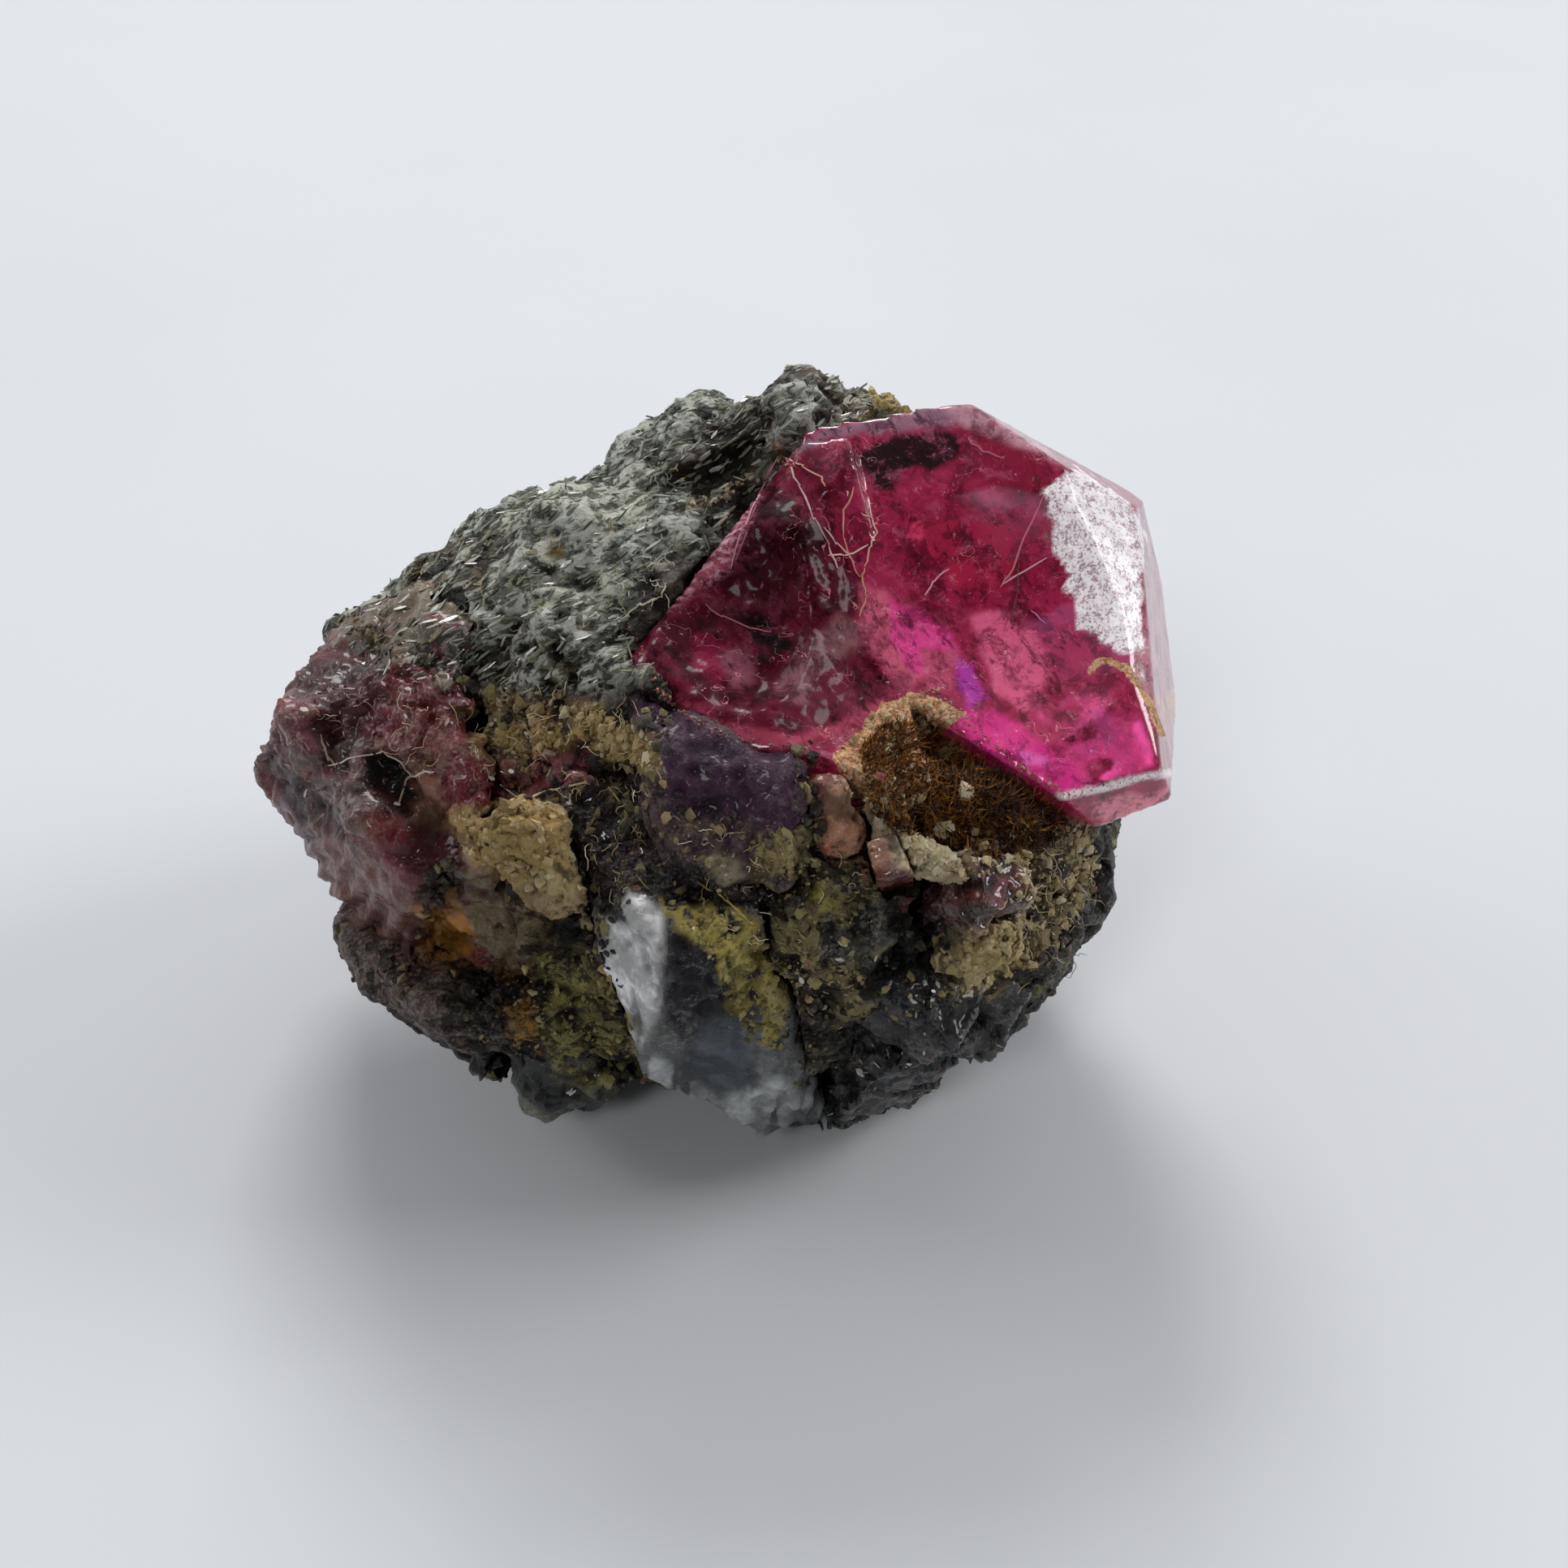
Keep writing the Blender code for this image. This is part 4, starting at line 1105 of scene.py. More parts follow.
def quartz_finish():
    """Clear quartz under a painted skin: light passes only where the paint leaves it free."""
    f = Finish("clear_quartz")
    tint, fine, dust = speckled(f, painted(f), 0.5, 0.45)
    bright = f.node("ShaderNodeRGBToBW", {}, {"Color": tint})
    powder = f.rise(bright, 0.12, 0.4)
    normal = f.bump(fine * 0.65 + dust * 0.35, 0.06, 0.9)
    glint = f.rise(f.noise(2.6, 5.0, 0.7), 0.52, 0.6)
    # the skin's colour carries the painted reflections of the glassy edges
    skin = f.shader(Base_Color=tint, Roughness=0.12 + 0.6 * powder, IOR=1.5, Normal=normal,
                    Coat_Weight=0.8 * glint, Coat_Roughness=0.08, Specular_IOR_Level=0.2)
    glass = f.shader(Base_Color=color(246, 250, 255), Roughness=0.05, IOR=QUARTZ_IOR, Transmission_Weight=1.0,
                     Normal=f.bump(fine, 0.024, 0.7))
    free = 0.55 * f.rise(f.noise(1.9, 6.0, 0.65), 0.36, 0.6)
    free = free * f.mask("glassy") * (1.0 - 0.7 * f.rise(fine, 0.56, 0.7))
    return f.done(crossfade(f, free, skin, glass), absorbing(f, *QUARTZ_LOSS))


QUARTZ_FINISH = quartz_finish()
print("the quartz's finish:", len(QUARTZ_FINISH.node_tree.nodes), "nodes")

# %% The black hornblende
hornblende = remeshed("black_crystal", "black_hornblende_crystal", 0.048, swell=0.10, soften=3)
SPLITS = [(Vector((0.72, -0.52, 0.46)), 1.7, 0.13), (Vector((-0.35, -0.3, 0.89)), 2.3, 0.10),
          (Vector((0.5, 0.8, 0.3)), 3.1, 0.06)]


def hornblende_relief(place, normal):
    depth = 0.0
    for look, often, height in SPLITS:
        saw = (place.dot(look) * often + 0.5 * grain(place, 0.6, 3)) % 1.0
        depth += height * (saw - 0.5) * abs(normal.dot(look))
    blocks = noise.voronoi(place * 1.7)[0][0]
    return depth - 0.16 * min(1.0, blocks) + 0.05 * crumbly(place, 2.2)


etch(hornblende, hornblende_relief)
paint_tint(hornblende, lambda place, normal: blended(color(20, 19, 21)[:3], color(58, 54, 54)[:3],
                                                     rise(grain(place, 1.8, 5), 0.1, 0.5)))
HORNBLENDE_FINISH = mineral_finish("black_hornblende", shine=0.14, matt=0.6, coat=0.4, speckle=0.35, relief=0.08)
print("hornblende points:", len(hornblende.data.vertices))

# %% [markdown]
# ## Small grains, feldspar, clay and the grey bulge
#
# These are simple bodies with one finish each. A small table holds what differs: the mesh, how worn the
# edges are, how lumpy the surface is, its own two colours and its shine.

# %% The small pieces
def lumpy(broad, middle, fine, scale):
    """A brush: broad swells, middle lumps and a fine grain, none of it past the solid by much."""
    def push(place, normal):
        swells = broad * grain(place, 0.8 * scale, 3) - broad * 0.3
        lumps = -middle * min(1.0, noise.voronoi(place * 2.2 * scale)[0][0] * 1.2)
        return swells + lumps + fine * crumbly(place, 4.0 * scale)
    return push


def two_tone(dark, bright, scale=1.8):
    """A piece's own colour, which wanders between two."""
    return lambda place, normal: blended(color(*dark)[:3], color(*bright)[:3],
                                         rise(grain(place, scale, 5), -0.3, 0.4))


CLAY_FINISH = mineral_finish("cream_clay", shine=0.8, matt=0.9, depth=0.75, speckle=0.6, relief=0.11)
GARNET_FINISH = mineral_finish("dark_red_garnet", shine=0.12, matt=0.7, coat=0.8, speckle=0.3)
FLESH_FINISH = mineral_finish("flesh_feldspar", shine=0.3, matt=0.55, coat=0.3, depth=0.5)
GREY_FINISH = mineral_finish("grey_quartz", shine=0.15, matt=0.6, coat=0.4, depth=0.8, speckle=0.5, relief=0.07)
OCHRE_FINISH = mineral_finish("iron_ochre", shine=0.6, matt=0.9, depth=0.9, speckle=0.3, scale=1.4)
SMALL_PIECES = [
    ("red_sliver", "red_sliver_crystal", "red_garnet", GARNET_FINISH, 0.032, 2, lumpy(0.05, 0.04, 0.015, 2.0),
     two_tone((92, 28, 28), (146, 62, 56)), 0.7),
    ("red_grain", "dark_red_grain", "red_garnet", GARNET_FINISH, 0.036, 4, lumpy(0.08, 0.08, 0.02, 1.5),
     two_tone((40, 8, 14), (110, 30, 36)), 0.3),
    ("flesh_feldspar", "flesh_feldspar_lump", "flesh_pink", FLESH_FINISH, 0.042, 3, lumpy(0.12, 0.08, 0.03, 1.6),
     two_tone((150, 88, 74), (206, 126, 104)), 0.65),
    ("cream_rim", "cream_clay_rim", "cream_clay", CLAY_FINISH, 0.034, 0, lumpy(0.10, 0.10, 0.05, 1.8),
     two_tone((196, 176, 134), (232, 218, 182)), 0.4),
    ("cream_left", "cream_clay_left", "cream_clay", CLAY_FINISH, 0.042, 24, lumpy(0.12, 0.16, 0.05, 1.1),
     two_tone((150, 120, 68), (204, 176, 116)), 0.6),
    ("cream_knob", "cream_clay_knob", "cream_clay", CLAY_FINISH, 0.034, 0, lumpy(0.10, 0.10, 0.05, 1.6),
     two_tone((186, 160, 104), (226, 206, 158)), 0.4),
    ("grey_bulge", "grey_quartz_bulge", "grey_quartz", GREY_FINISH, 0.045, 6, lumpy(0.2, 0.14, 0.04, 1.0),
     two_tone((40, 42, 40), (112, 114, 100)), 1.0),
]
small = []
for node, name, slot, look_finish, voxel, soften, push, own, reach in SMALL_PIECES:
    grown = remeshed(node, name, voxel, swell=0.04, soften=soften)
    etch(grown, push)
    paint_tint(grown, own, reach)
    small.append((grown, node, slot, look_finish))
    print(name, len(grown.data.vertices), "points")

# %% [markdown]
# ## The ochre pocket
#
# The pocket is lined with iron ochre that grew as tiny bristles. The floor is a lumpy crust, and many
# fine needles stand on it. To place details exactly where the photograph shows them, a pixel is picked at
# random inside an outline, and the ray through it is followed to the first piece that it meets.

# %% The pocket's floor
pocket = remeshed("pocket_crust", "ochre_floor", 0.045)
etch(pocket, lumpy(0.10, 0.12, 0.06, 2.2))
paint_tint(pocket, two_tone((30, 10, 2), (96, 48, 8), 2.4), 0.0)
print("pocket floor points:", len(pocket.data.vertices))

# %% Rays through the photograph's pixels
random.seed(11)
STONE = [rock, sapphire, wine_crystal, violet, quartz, hornblende, pocket] + [entry[0] for entry in small]
corners, faces, owner = [], [], []
for piece in STONE:
    first = len(corners)
    corners.extend(vertex.co.copy() for vertex in piece.data.vertices)
    for polygon in piece.data.polygons:
        faces.append([first + index for index in polygon.vertices])
        owner.append(piece.name)
stone_tree = BVHTree.FromPolygons(corners, faces)
LOWEST_CRUMB = 0.3  # mm, so that no crumb or flake reaches below the floor
print("the stone has", len(faces), "faces in all")


def hit(u, v):
    """The place, normal and piece that the camera sees at a pixel."""
    place, normal, index, _ = stone_tree.ray_cast(EYE, photo_ray(u, v))
    return (None, None, None) if place is None else (place, normal, owner[index])


def scatter(outline, count, avoid=("sapphire",)):
    """Places inside an outline, on whichever piece is in front there."""
    found = []
    low_u, high_u = min(p[0] for p in outline), max(p[0] for p in outline)
    low_v, high_v = min(p[1] for p in outline), max(p[1] for p in outline)
    for _ in range(count * 6):
        u, v = random.uniform(low_u, high_u), random.uniform(low_v, high_v)
        if len(found) < count and depth_inside(outline, u, v) > 0:
            place, normal, name = hit(u, v)
            if place is not None and name not in avoid and place.z > LOWEST_CRUMB:
                found.append((place, normal))
    return found


def strewn(piece, count, allowed):
    """Places all over a piece, where allowed(place, normal) and where nothing lies close over them."""
    polygons = [p for p in piece.data.polygons if allowed(p.center, p.normal)]
    weights = [p.area for p in polygons]
    found = []
    for polygon in random.choices(polygons, weights, k=count):
        over, _, _, _ = stone_tree.ray_cast(polygon.center + polygon.normal * 0.02, polygon.normal, 0.5)
        if over is None and polygon.center.z > LOWEST_CRUMB:
            found.append((polygon.center.copy(), polygon.normal.copy()))
    return found


# %% [markdown]
# ### Needles, crumbs, flakes and fibres
#
# Four small shapes give the stone its crust: a needle, a crumb, a thin flake and a fibre. Each has a few
# faces only, because there are thousands of them, and each kind ends as one mesh with its colours painted on.

# %% Four small shapes
def small_shape(maker, **settings):
    """The corners and faces of a small shape, made once."""
    form = bmesh.new()
    maker(form, **settings)
    form.verts.index_update()
    shape = [vertex.co.copy() for vertex in form.verts], [[v.index for v in face.verts] for face in form.faces]
    form.free()
    return shape


CRUMB = small_shape(bmesh.ops.create_icosphere, subdivisions=1, radius=1.0)
NEEDLE = small_shape(bmesh.ops.create_cone, cap_ends=True, segments=4, radius1=1.0, radius2=0.25, depth=1.0)
FLAKE = small_shape(bmesh.ops.create_cone, cap_ends=True, segments=6, radius1=1.0, radius2=0.85, depth=2.0)


class Heap:
    """Many copies of small shapes in one mesh, each with its own place, turn and colour."""

    def __init__(self):
        self.corners, self.faces, self.tints = [], [], []

    def add(self, shape, matrix, tone, rough=0.0):
        first = len(self.corners)
        self.corners.extend(matrix @ (corner + any_way() * rough) for corner in shape[0])
        self.faces.extend([first + index for index in face] for face in shape[1])
        self.tints.extend([tone] * len(shape[0]))

    def piece(self, name):
        mesh = bpy.data.meshes.new(name)
        mesh.from_pydata(self.corners, [], self.faces)
        piece = bpy.data.objects.new(name, mesh)
        bpy.context.scene.collection.objects.link(piece)
        keep_tints(mesh, self.tints)
        relief = mesh.attributes.new("relief", "FLOAT", "POINT")
        relief.data.foreach_set("value", [0.7] * len(mesh.vertices))
        return piece


def any_way():
    """A vector in any direction, up to about 1 long."""
    return Vector([random.uniform(-1, 1) for _ in range(3)])


def turned(look):
    """The turn that points a shape's own Z along look."""
    return look.to_track_quat("Z", "Y").to_matrix().to_4x4()


def needles(name, spots, length, radius, tones, lean=0.7):
    """Thin spikes that stand on the surface."""
    heap = Heap()
    for place, normal in spots:
        look = (normal + lean * any_way()).normalized()
        tall, thick = length * random.uniform(0.5, 1.3), radius * random.uniform(0.7, 1.3)
        where = Matrix.Translation(place + look * (tall * 0.42)) @ turned(look)
        heap.add(NEEDLE, where @ Matrix.Diagonal((thick, thick, tall, 1.0)), random.choice(tones))
    return heap.piece(name)


def crumbs(name, heaps, flat=0.6):
    """Angular crumbs; heaps is a list of (spots, smallest, largest, tones), sizes in mm across."""
    heap = Heap()
    for spots, smallest, largest, tones in heaps:
        for place, normal in spots:
            size = smallest * (largest / smallest) ** (random.random() ** 2.2) * 0.5
            shape = Matrix.Diagonal((size, size * random.uniform(0.5, 1.0), size * flat, 1.0))
            spin = Euler((random.uniform(-0.5, 0.5), random.uniform(-0.5, 0.5), random.uniform(0, 6.3)))
            where = Matrix.Translation(place + normal * size * 0.1) @ turned(normal)
            light = random.uniform(0.75, 1.2)
            tone = tuple(min(1.0, part * light) for part in random.choice(tones))
            tone = blended(tone, tint_at(place, normal, tone), 0.55)
            heap.add(CRUMB, where @ spin.to_matrix().to_4x4() @ shape, tone, rough=0.38)
    return heap.piece(name)


def flakes(name, spots, smallest, largest, tones, along=None, tilt=0.35, narrow=(0.25, 0.6)):
    """Thin plates that lie on the surface or stand a little out of it."""
    heap = Heap()
    for place, normal in spots:
        size = random.uniform(smallest, largest) * 0.5
        look = (normal + tilt * any_way()).normalized()
        if along:
            side = look.cross(along + 0.25 * any_way()).normalized()
            turn = Matrix((side.cross(look), side, look)).transposed().to_4x4()
        else:
            turn = turned(look) @ Matrix.Rotation(random.uniform(0, 6.3), 4, "Z")
        shape = Matrix.Diagonal((size, size * random.uniform(*narrow), size * 0.06, 1.0))
        heap.add(FLAKE, Matrix.Translation(place + normal * 0.01) @ turn @ shape, random.choice(tones), rough=0.2)
    return heap.piece(name)


def fibres(name, strands, radius):
    """Thin tubes along lists of points, as one closed mesh; strands is a list of (points, tone)."""
    curve = bpy.data.curves.new(name, "CURVE")
    curve.dimensions = "3D"
    curve.bevel_depth = radius
    curve.bevel_resolution = 0
    curve.use_fill_caps = True
    for points, _ in strands:
        spline = curve.splines.new("POLY")
        spline.points.add(len(points) - 1)
        for index, point in enumerate(points):
            spline.points[index].co = (*point, 1.0)
            spline.points[index].radius = 1.0 if 0 < index < len(points) - 1 else 0.5
    piece = bpy.data.objects.new(name, curve)
    bpy.context.scene.collection.objects.link(piece)
    only(piece)
    bpy.ops.object.convert(target="MESH")
    piece = bpy.context.active_object
    nearest = [(point, tone) for points, tone in strands for point in points]
    index_tree = BVHTree.FromPolygons([p + Vector(o) * 0.001 for p, _ in nearest
                                       for o in ((0, 0, 0), (1, 0, 0), (0, 1, 0))],
                                      [(3 * i, 3 * i + 1, 3 * i + 2) for i in range(len(nearest))])
    tints = []
    for vertex in piece.data.vertices:
        _, _, index, _ = index_tree.find_nearest(vertex.co)
        tints.append(nearest[index][1])
    keep_tints(piece.data, tints)
    piece.data.attributes.new("relief", "FLOAT", "POINT").data.foreach_set("value", [0.8] * len(piece.data.vertices))
    return piece


def hair(place, normal, length, lift=0.02, bends=8):
    """The points of one curved fibre that lies on the surface."""
    side = any_way().cross(normal)
    ahead = side.normalized() if side.length > 1e-6 else Vector((1.0, 0.0, 0.0))
    points = []
    spot = place + normal * lift * 0.3
    for step in range(bends):
        points.append(spot.copy())
        ahead = (ahead + 0.75 * any_way() - 0.25 * normal * (step / bends - 0.3)).normalized()
        spot = spot + ahead * length / bends + normal * lift * random.uniform(-0.2, 0.5)
    return points


def tones(*levels):
    """Several screen colours at once."""
    return [color(*level)[:3] for level in levels]


print("small shapes are ready")

# %% Bristles of ochre in the pocket
POCKET = [(1058, 925), (1088, 892), (1140, 890), (1190, 922), (1250, 952), (1302, 990), (1300, 1030),
          (1262, 1058), (1210, 1055), (1150, 1028), (1108, 1030), (1075, 1000)]
OCHRES = tones((128, 74, 14), (156, 96, 22), (190, 130, 42), (92, 50, 8), (60, 30, 6))
DARK_OCHRES = tones((52, 30, 10), (34, 22, 10), (90, 56, 18))
bristles = needles("ochre_bristles", scatter(POCKET, 3000, avoid=()), 0.17, 0.013, OCHRES)
dark_bristles = needles("dark_ochre_bristles", scatter([(1215, 950), (1302, 990), (1300, 1040), (1240, 1055),
                                                        (1205, 1000)], 700), 0.2, 0.012, DARK_OCHRES)
print("bristles:", len(bristles.data.polygons) + len(dark_bristles.data.polygons), "faces")

# %% Crumbs of clay, crust and rock
CREAMS = tones((214, 196, 152), (196, 174, 126), (230, 216, 182), (176, 152, 104))
OLIVES = tones((146, 136, 84), (170, 158, 100), (116, 108, 68), (188, 178, 124))
DARKS = tones((34, 30, 27), (52, 46, 40), (78, 70, 58), (24, 22, 21))
GREENS = tones((126, 132, 112), (98, 102, 84), (156, 160, 138), (74, 74, 60), (146, 138, 104))
WINES = tones((120, 34, 52), (92, 22, 38), (146, 66, 76), (150, 112, 96))
ROSES = tones((206, 140, 120), (190, 110, 104), (222, 178, 146), (176, 84, 92))
CLAY_FIELDS = [
    ([(585, 990), (690, 985), (706, 1050), (728, 1112), (724, 1141), (656, 1100), (585, 1070)], 160),
    ([(715, 884), (742, 873), (812, 916), (820, 952), (780, 952), (742, 932)], 120),
    ([(1108, 1035), (1148, 1010), (1255, 1030), (1255, 1066), (1204, 1084), (1129, 1080)], 150),
    ([(1255, 1031), (1344, 1010), (1356, 1063), (1312, 1160), (1269, 1192), (1236, 1178)], 260),
    ([(1169, 1157), (1204, 1141), (1248, 1145), (1268, 1185), (1218, 1225), (1190, 1225)], 100),
    ([(1036, 930), (1060, 900), (1085, 866), (1150, 850), (1185, 872), (1160, 905), (1090, 895), (1070, 940),
      (1072, 1010), (1050, 990)], 160),
    ([(560, 878), (640, 850), (735, 862), (740, 920), (617, 942)], 120),
    ([(1062, 489), (1090, 472), (1138, 490), (1120, 512)], 60),
]
OLIVE_FIELDS = [
    ([(817, 1108), (915, 1117), (965, 1185), (985, 1217), (965, 1300), (924, 1290), (901, 1250), (877, 1185)], 330),
    ([(924, 1026), (1000, 1015), (1073, 1073), (1090, 1133), (1060, 1230), (980, 1200), (933, 1110)], 380),
    ([(617, 1190), (723, 1168), (775, 1256), (778, 1310), (732, 1345), (640, 1290)], 300),
]
DARK_FIELDS = [
    ([(540, 1200), (620, 1190), (660, 1290), (600, 1310)], 120),
    ([(694, 968), (775, 978), (766, 1141), (728, 1112), (704, 1045)], 120),
    ([(775, 951), (961, 1026), (985, 1110), (854, 1120), (780, 1105)], 300),
    ([(960, 1220), (1080, 1180), (1120, 1120), (1170, 1150), (1180, 1230), (1000, 1340)], 120),
]
WINE_FIELD = [(345, 890), (430, 790), (560, 830), (640, 930), (600, 1020), (440, 1000), (345, 990)]
ROSE_LINE = [(768, 765), (790, 800), (810, 850), (835, 872), (860, 890), (895, 908), (960, 920), (1020, 918),
             (1060, 900), (1098, 868), (1150, 850), (1185, 880), (1230, 925), (1290, 965), (1330, 988)]


def along_line(points, count, spread):
    """Places along a line of pixels, spread a little to both sides."""
    found = []
    for _ in range(count):
        (u0, v0), (u1, v1) = random.choice(list(zip(points, points[1:])))
        part = random.random()
        place, normal, _ = hit(u0 + (u1 - u0) * part + random.gauss(0, spread),
                               v0 + (v1 - v0) * part + random.gauss(0, spread))
        if place is not None and place.z > LOWEST_CRUMB:
            found.append((place, normal))
    return found


def roof_only(place, normal):
    return combed(place, normal) > 0.4


heaps = [(scatter(field, int(count * 1.5)), 0.03, 0.20, CREAMS) for field, count in CLAY_FIELDS]
heaps += [(scatter(CLAY_FOOT, 240, avoid=()), 0.04, 0.18, CREAMS + ROSES[:3])]
heaps += [(scatter(field, int(count * 1.3)), 0.03, 0.15, OLIVES + DARKS[:2]) for field, count in OLIVE_FIELDS]
heaps += [(scatter(field, count), 0.04, 0.18, DARKS + CREAMS[3:]) for field, count in DARK_FIELDS]
heaps += [(scatter(WINE_FIELD, 120), 0.03, 0.10, WINES)]
heaps += [(along_line(ROSE_LINE, 420, 2.5), 0.02, 0.06, ROSES)]
heaps += [(along_line([(925, 585), (890, 610), (850, 625)], 60, 4.0), 0.04, 0.12, CREAMS)]
heaps += [(along_line([(955, 545), (960, 560), (965, 575)], 30, 5.0), 0.03, 0.10, ROSES + CREAMS[:1])]
heaps += [([(hit(u, v)[0], hit(u, v)[1])], 0.28, 0.30, CREAMS[2:3]) for u, v in ((1190, 975), (1160, 1022))]
heaps += [(strewn(rock, 1700, roof_only), 0.04, 0.16, GREENS + DARKS)]
heaps += [(strewn(rock, 1200, lambda place, normal: combed(place, normal) < 0.4), 0.05, 0.20, DARKS + OLIVES[2:3])]
SEAMS = [[(430, 760), (480, 800), (540, 822), (600, 850), (640, 880), (655, 940), (640, 985), (600, 1000)],
         [(600, 1000), (560, 1060), (530, 1120), (520, 1180), (480, 1200)],
         [(740, 1100), (735, 1170), (745, 1230), (765, 1290), (780, 1340)],
         [(775, 985), (770, 1040), (775, 1100)], [(985, 1110), (1000, 1180), (1000, 1260), (995, 1330)],
         [(815, 880), (800, 930), (800, 980)], [(985, 925), (990, 980), (1000, 1040)],
         [(1100, 1150), (1180, 1150), (1170, 1230)], [(1270, 1180), (1320, 1130), (1350, 1050)]]
for seam in SEAMS:
    heaps.append((along_line(seam, 30 * len(seam), 9.0), 0.06, 0.26,
                  DARKS * 2 + CREAMS[3:] + OLIVES[1:3] + WINES[3:]))
rubble = crumbs("crust_crumbs", heaps)
print("crumbs:", len(rubble.data.polygons), "faces")

# %% Flakes of mica
SILVERS = tones((176, 182, 168), (206, 208, 196), (140, 148, 130), (112, 116, 98), (224, 222, 206))
GLINTS = tones((214, 198, 186), (176, 140, 130), (236, 226, 214), (120, 50, 60))
mica = flakes("mica_flakes", strewn(rock, 1500, roof_only) + scatter(ROOF, 700), 0.08, 0.34, SILVERS + GREENS,
              along=COMB, tilt=0.6, narrow=(0.08, 0.28))
wine_mica = flakes("red_mica_flakes", scatter(WINE_FIELD, 60)
                   + scatter([(960, 1200), (1100, 1120), (1180, 1230), (1160, 1360), (1010, 1350)], 50),
                   0.05, 0.16, GLINTS, tilt=0.5)
print("flakes:", len(mica.data.polygons) + len(wine_mica.data.polygons), "faces")

# %% [markdown]
# ### Threads and fibres
#
# Fine white threads lie on the sapphire and spread from one point like a star, and pale fibres cross the
# crust like roots. A thread that the photograph shows is followed point by point; the rest are strewn.

# %% Threads on the sapphire, and fibres in the crust
THREADS = [
    ([(960, 562), (935, 610), (912, 660), (900, 702)], (206, 150, 166)),
    ([(952, 566), (945, 590), (925, 640), (905, 690)], (180, 96, 126)),
    ([(969, 565), (985, 598), (1003, 640), (1020, 670), (1032, 702)], (232, 196, 190)),
    ([(967, 562), (990, 575), (1012, 588), (1016, 600)], (222, 168, 150)),
    ([(1052, 601), (1040, 628), (1038, 660), (1048, 690), (1058, 712)], (226, 150, 140)),
    ([(1014, 650), (1030, 670), (1046, 685), (1052, 694)], (228, 190, 184)),
    ([(1022, 684), (1040, 684), (1052, 681), (1068, 672)], (236, 206, 196)),
    ([(1060, 632), (1074, 640), (1080, 655), (1072, 674), (1066, 698)], (230, 176, 160)),
    ([(1044, 606), (1046, 612)], (250, 226, 210)),
    ([(1064, 700), (1062, 715), (1066, 735), (1060, 760)], (206, 150, 120)),
    ([(870, 745), (890, 760), (925, 775), (950, 778)], (190, 100, 110)),
    ([(1235, 720), (1262, 704), (1290, 686)], (240, 190, 196)),
    ([(1232, 724), (1248, 700), (1262, 664), (1285, 610)], (220, 120, 140)),
    ([(1140, 735), (1150, 716), (1168, 700)], (238, 160, 170)),
    ([(1270, 752), (1288, 768)], (220, 130, 200)),
    ([(1255, 690), (1252, 730), (1246, 768)], (110, 16, 40)),
    ([(1192, 540), (1210, 556), (1236, 564)], (220, 120, 140)),
]
ROOTS = [
    ([(405, 945), (430, 935), (470, 925), (495, 940), (508, 958), (520, 952), (535, 951)], (226, 214, 196)),
    ([(492, 992), (500, 960), (508, 956)], (214, 196, 170)),
    ([(395, 905), (402, 930), (415, 945)], (190, 160, 140)),
    ([(768, 760), (790, 745), (815, 735), (820, 722)], (222, 210, 180)),
    ([(617, 968), (646, 987), (680, 973), (742, 958)], (206, 184, 146)),
    ([(859, 1087), (896, 1110), (943, 1152)], (190, 168, 84)),
    ([(742, 960), (765, 990), (778, 1012)], (170, 150, 90)),
    ([(808, 545), (802, 556)], (120, 116, 100)),
]
strands = []
for pixels, tone in THREADS + ROOTS:
    points = []
    for (u0, v0), (u1, v1) in zip(pixels, pixels[1:]):
        for part in (0.0, 0.34, 0.67, 1.0):
            place, normal, _ = hit(u0 + (u1 - u0) * part + random.uniform(-1.5, 1.5),
                                   v0 + (v1 - v0) * part + random.uniform(-1.5, 1.5))
            if place is not None and (not points or (place - points[-1]).length > 0.02):
                points.append(place + normal * 0.008)
    if len(points) > 1:
        strands.append((points, color(*tone)[:3]))
threads = fibres("white_threads", strands, 0.014)
FIBRE_FIELDS = [
    ([(1235, 1020), (1344, 1010), (1356, 1063), (1330, 1140), (1269, 1210), (1236, 1178)], 240, 0.34, CREAMS),
    ([(480, 830), (640, 840), (800, 870), (815, 960), (640, 990), (520, 960)], 260, 0.3, CREAMS),
    ([(345, 900), (430, 820), (520, 840), (500, 930), (400, 990)], 130, 0.3, tones((200, 176, 160), (150, 110, 104))),
    ([(694, 968), (800, 960), (790, 1080), (766, 1145), (728, 1112)], 120, 0.36, CREAMS[1:] + DARKS[2:3]),
    ([(760, 690), (830, 690), (820, 760), (760, 770)], 70, 0.22, tones((232, 226, 206), (200, 190, 170))),
    ([(850, 1000), (1000, 1010), (1080, 1100), (980, 1200), (850, 1120)], 150, 0.22, CREAMS[1:] + OLIVES[:1]),
    ([(450, 740), (600, 650), (800, 570), (880, 600), (760, 760), (500, 830)], 260, 0.26, SILVERS[:3] + CREAMS[:2]),
    ([(1270, 1140), (1340, 1060), (1350, 1150), (1290, 1230)], 70, 0.3, tones((120, 110, 90), (80, 72, 60))),
]
strands = []
for field, count, length, pool in FIBRE_FIELDS:
    for place, normal in scatter(field, count // 2):
        strands.append((hair(place, normal, length * random.uniform(0.5, 1.6)), random.choice(pool)))
roots = fibres("crust_fibres", strands, 0.005)
print("threads and fibres:", len(threads.data.polygons) + len(roots.data.polygons), "faces")

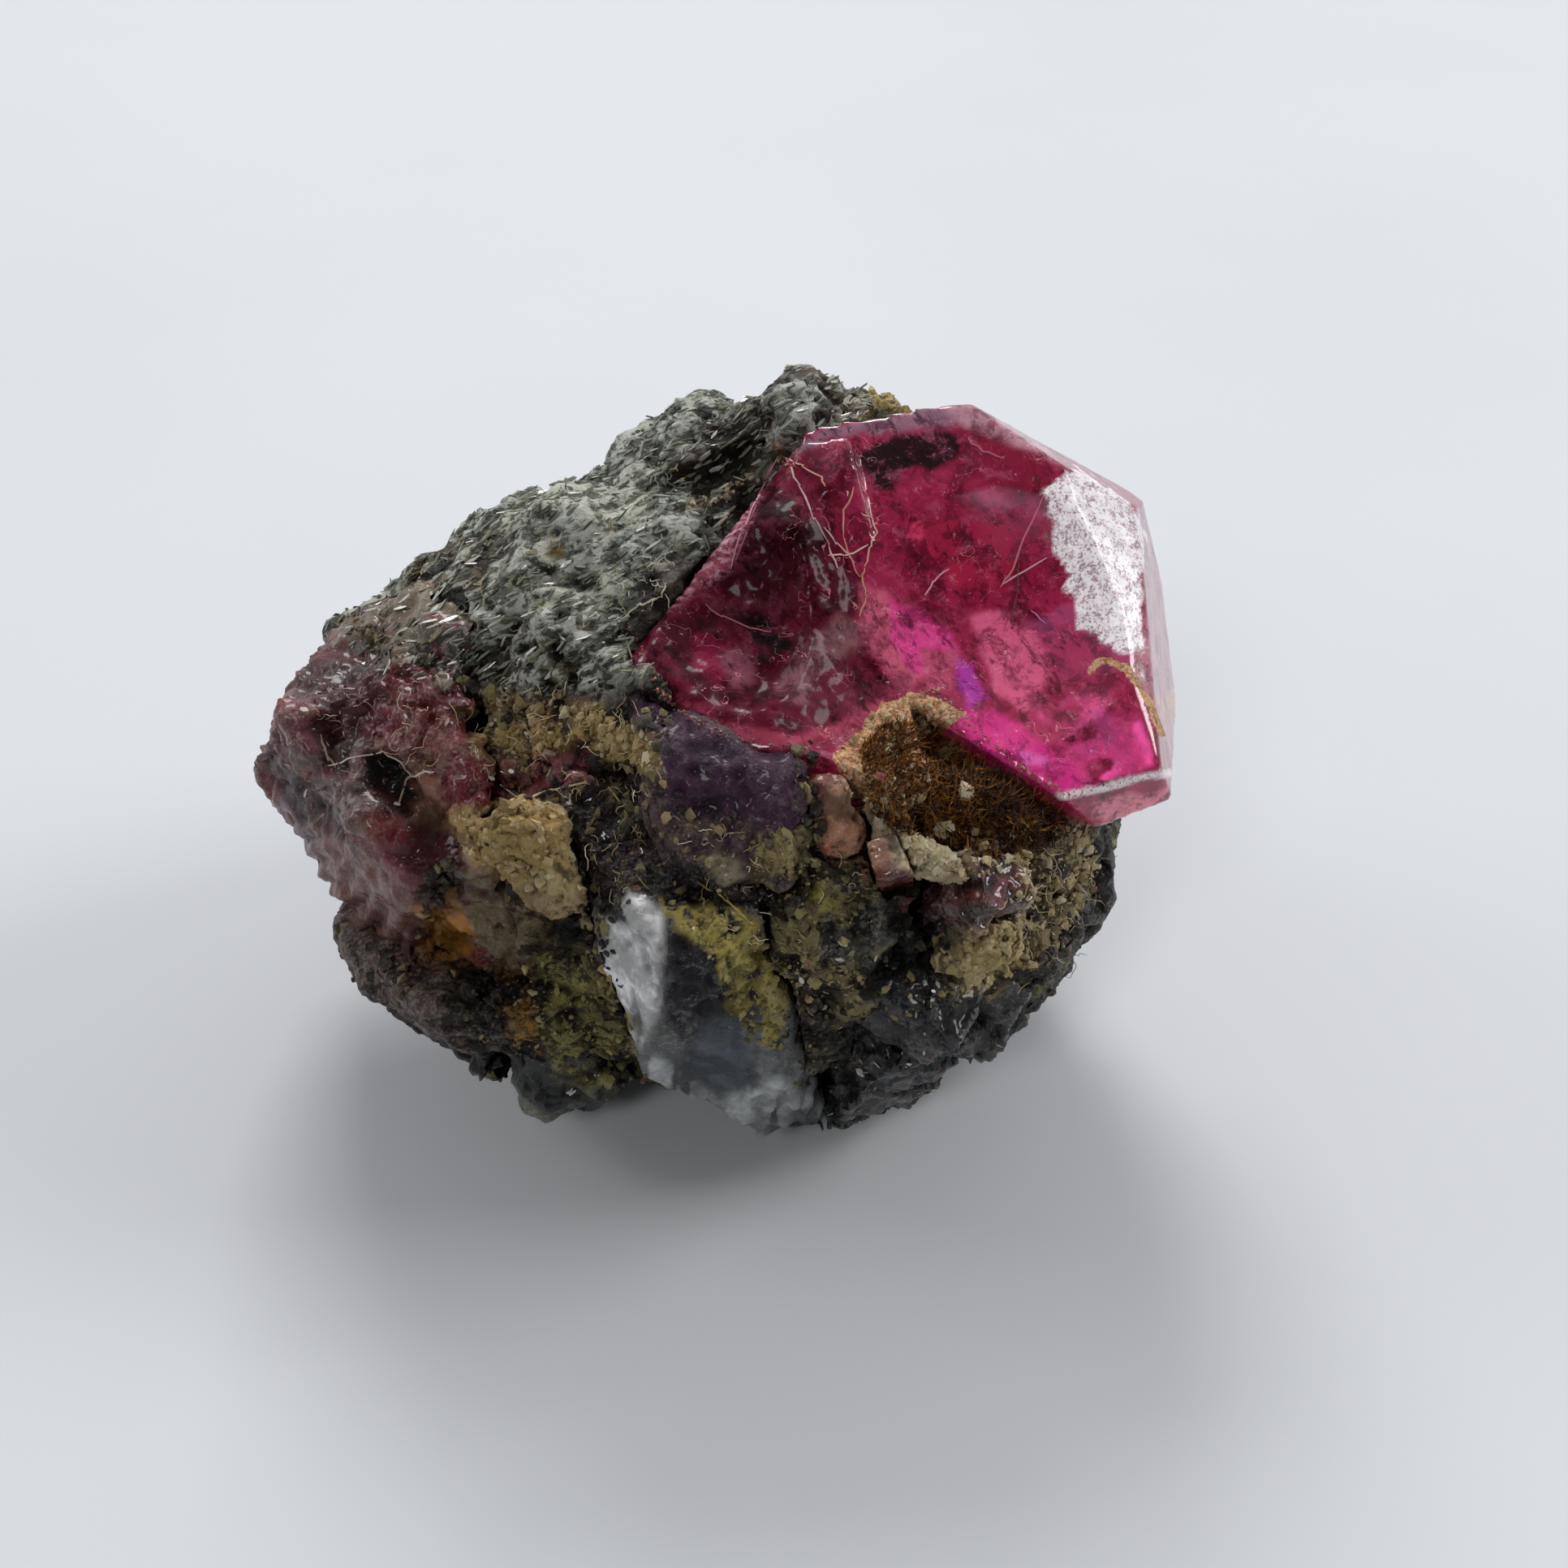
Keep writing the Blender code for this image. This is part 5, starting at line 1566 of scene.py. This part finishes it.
# %% [markdown]
# ## Hand over
#
# Everything is modelled, so each piece is now shrunk to metres and given its finish. The box of the dressed
# specimen is printed beside the box of its solids.

# %% Finish every piece
finish(rock, "matrix", "dark_rock", ROCK_FINISH, smooth=70.0)
finish(sapphire, "sapphire_crystal", "pink_sapphire", SAPPHIRE_FINISH, smooth=50.0)
finish(wine_crystal, "left_crystal", "wine_ruby", WINE_FINISH, smooth=60.0)
finish(violet, "violet_crystal", "violet_corundum", VIOLET_FINISH, smooth=60.0)
finish(quartz, "clear_crystal", "clear_quartz", QUARTZ_FINISH, smooth=50.0)
finish(hornblende, "black_crystal", "black_hornblende", HORNBLENDE_FINISH, smooth=40.0)
for grown, node, slot, look_finish in small:
    finish(grown, node, slot, look_finish, smooth=60.0)
finish(pocket, "pocket_crust", "iron_ochre", OCHRE_FINISH, smooth=60.0)
finish(bristles, None, "iron_ochre", OCHRE_FINISH, smooth=20.0)
finish(dark_bristles, None, "iron_ochre", OCHRE_FINISH, smooth=20.0)
CRUMB_FINISH = mineral_finish("crust_crumb", shine=0.5, matt=0.9, depth=0.4, speckle=0.5, scale=1.5)
MICA_FINISH = mineral_finish("silver_mica", shine=0.14, matt=0.32, coat=0.7, depth=0.3, speckle=0.2)
FIBRE_FINISH = mineral_finish("pale_fibre", shine=0.45, matt=0.6, depth=0.1, speckle=0.1, relief=0.02)
finish(rubble, None, "cream_clay", CRUMB_FINISH, smooth=20.0)
finish(mica, None, "dark_rock", MICA_FINISH, smooth=20.0)
finish(wine_mica, None, "wine_ruby", MICA_FINISH, smooth=20.0)
finish(threads, None, "cream_clay", FIBRE_FINISH, smooth=60.0)
finish(roots, None, "cream_clay", FIBRE_FINISH, smooth=60.0)

# %% Print the size of the solids and of the dressed specimen
low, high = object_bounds()
for axis, a, b, c, d in zip("xyz", cad_low, cad_high, low, high):
    print(axis, "solid", round(a * PER_METRE, 2), round(b * PER_METRE, 2), "dressed",
          round(c * PER_METRE, 2), round(d * PER_METRE, 2))
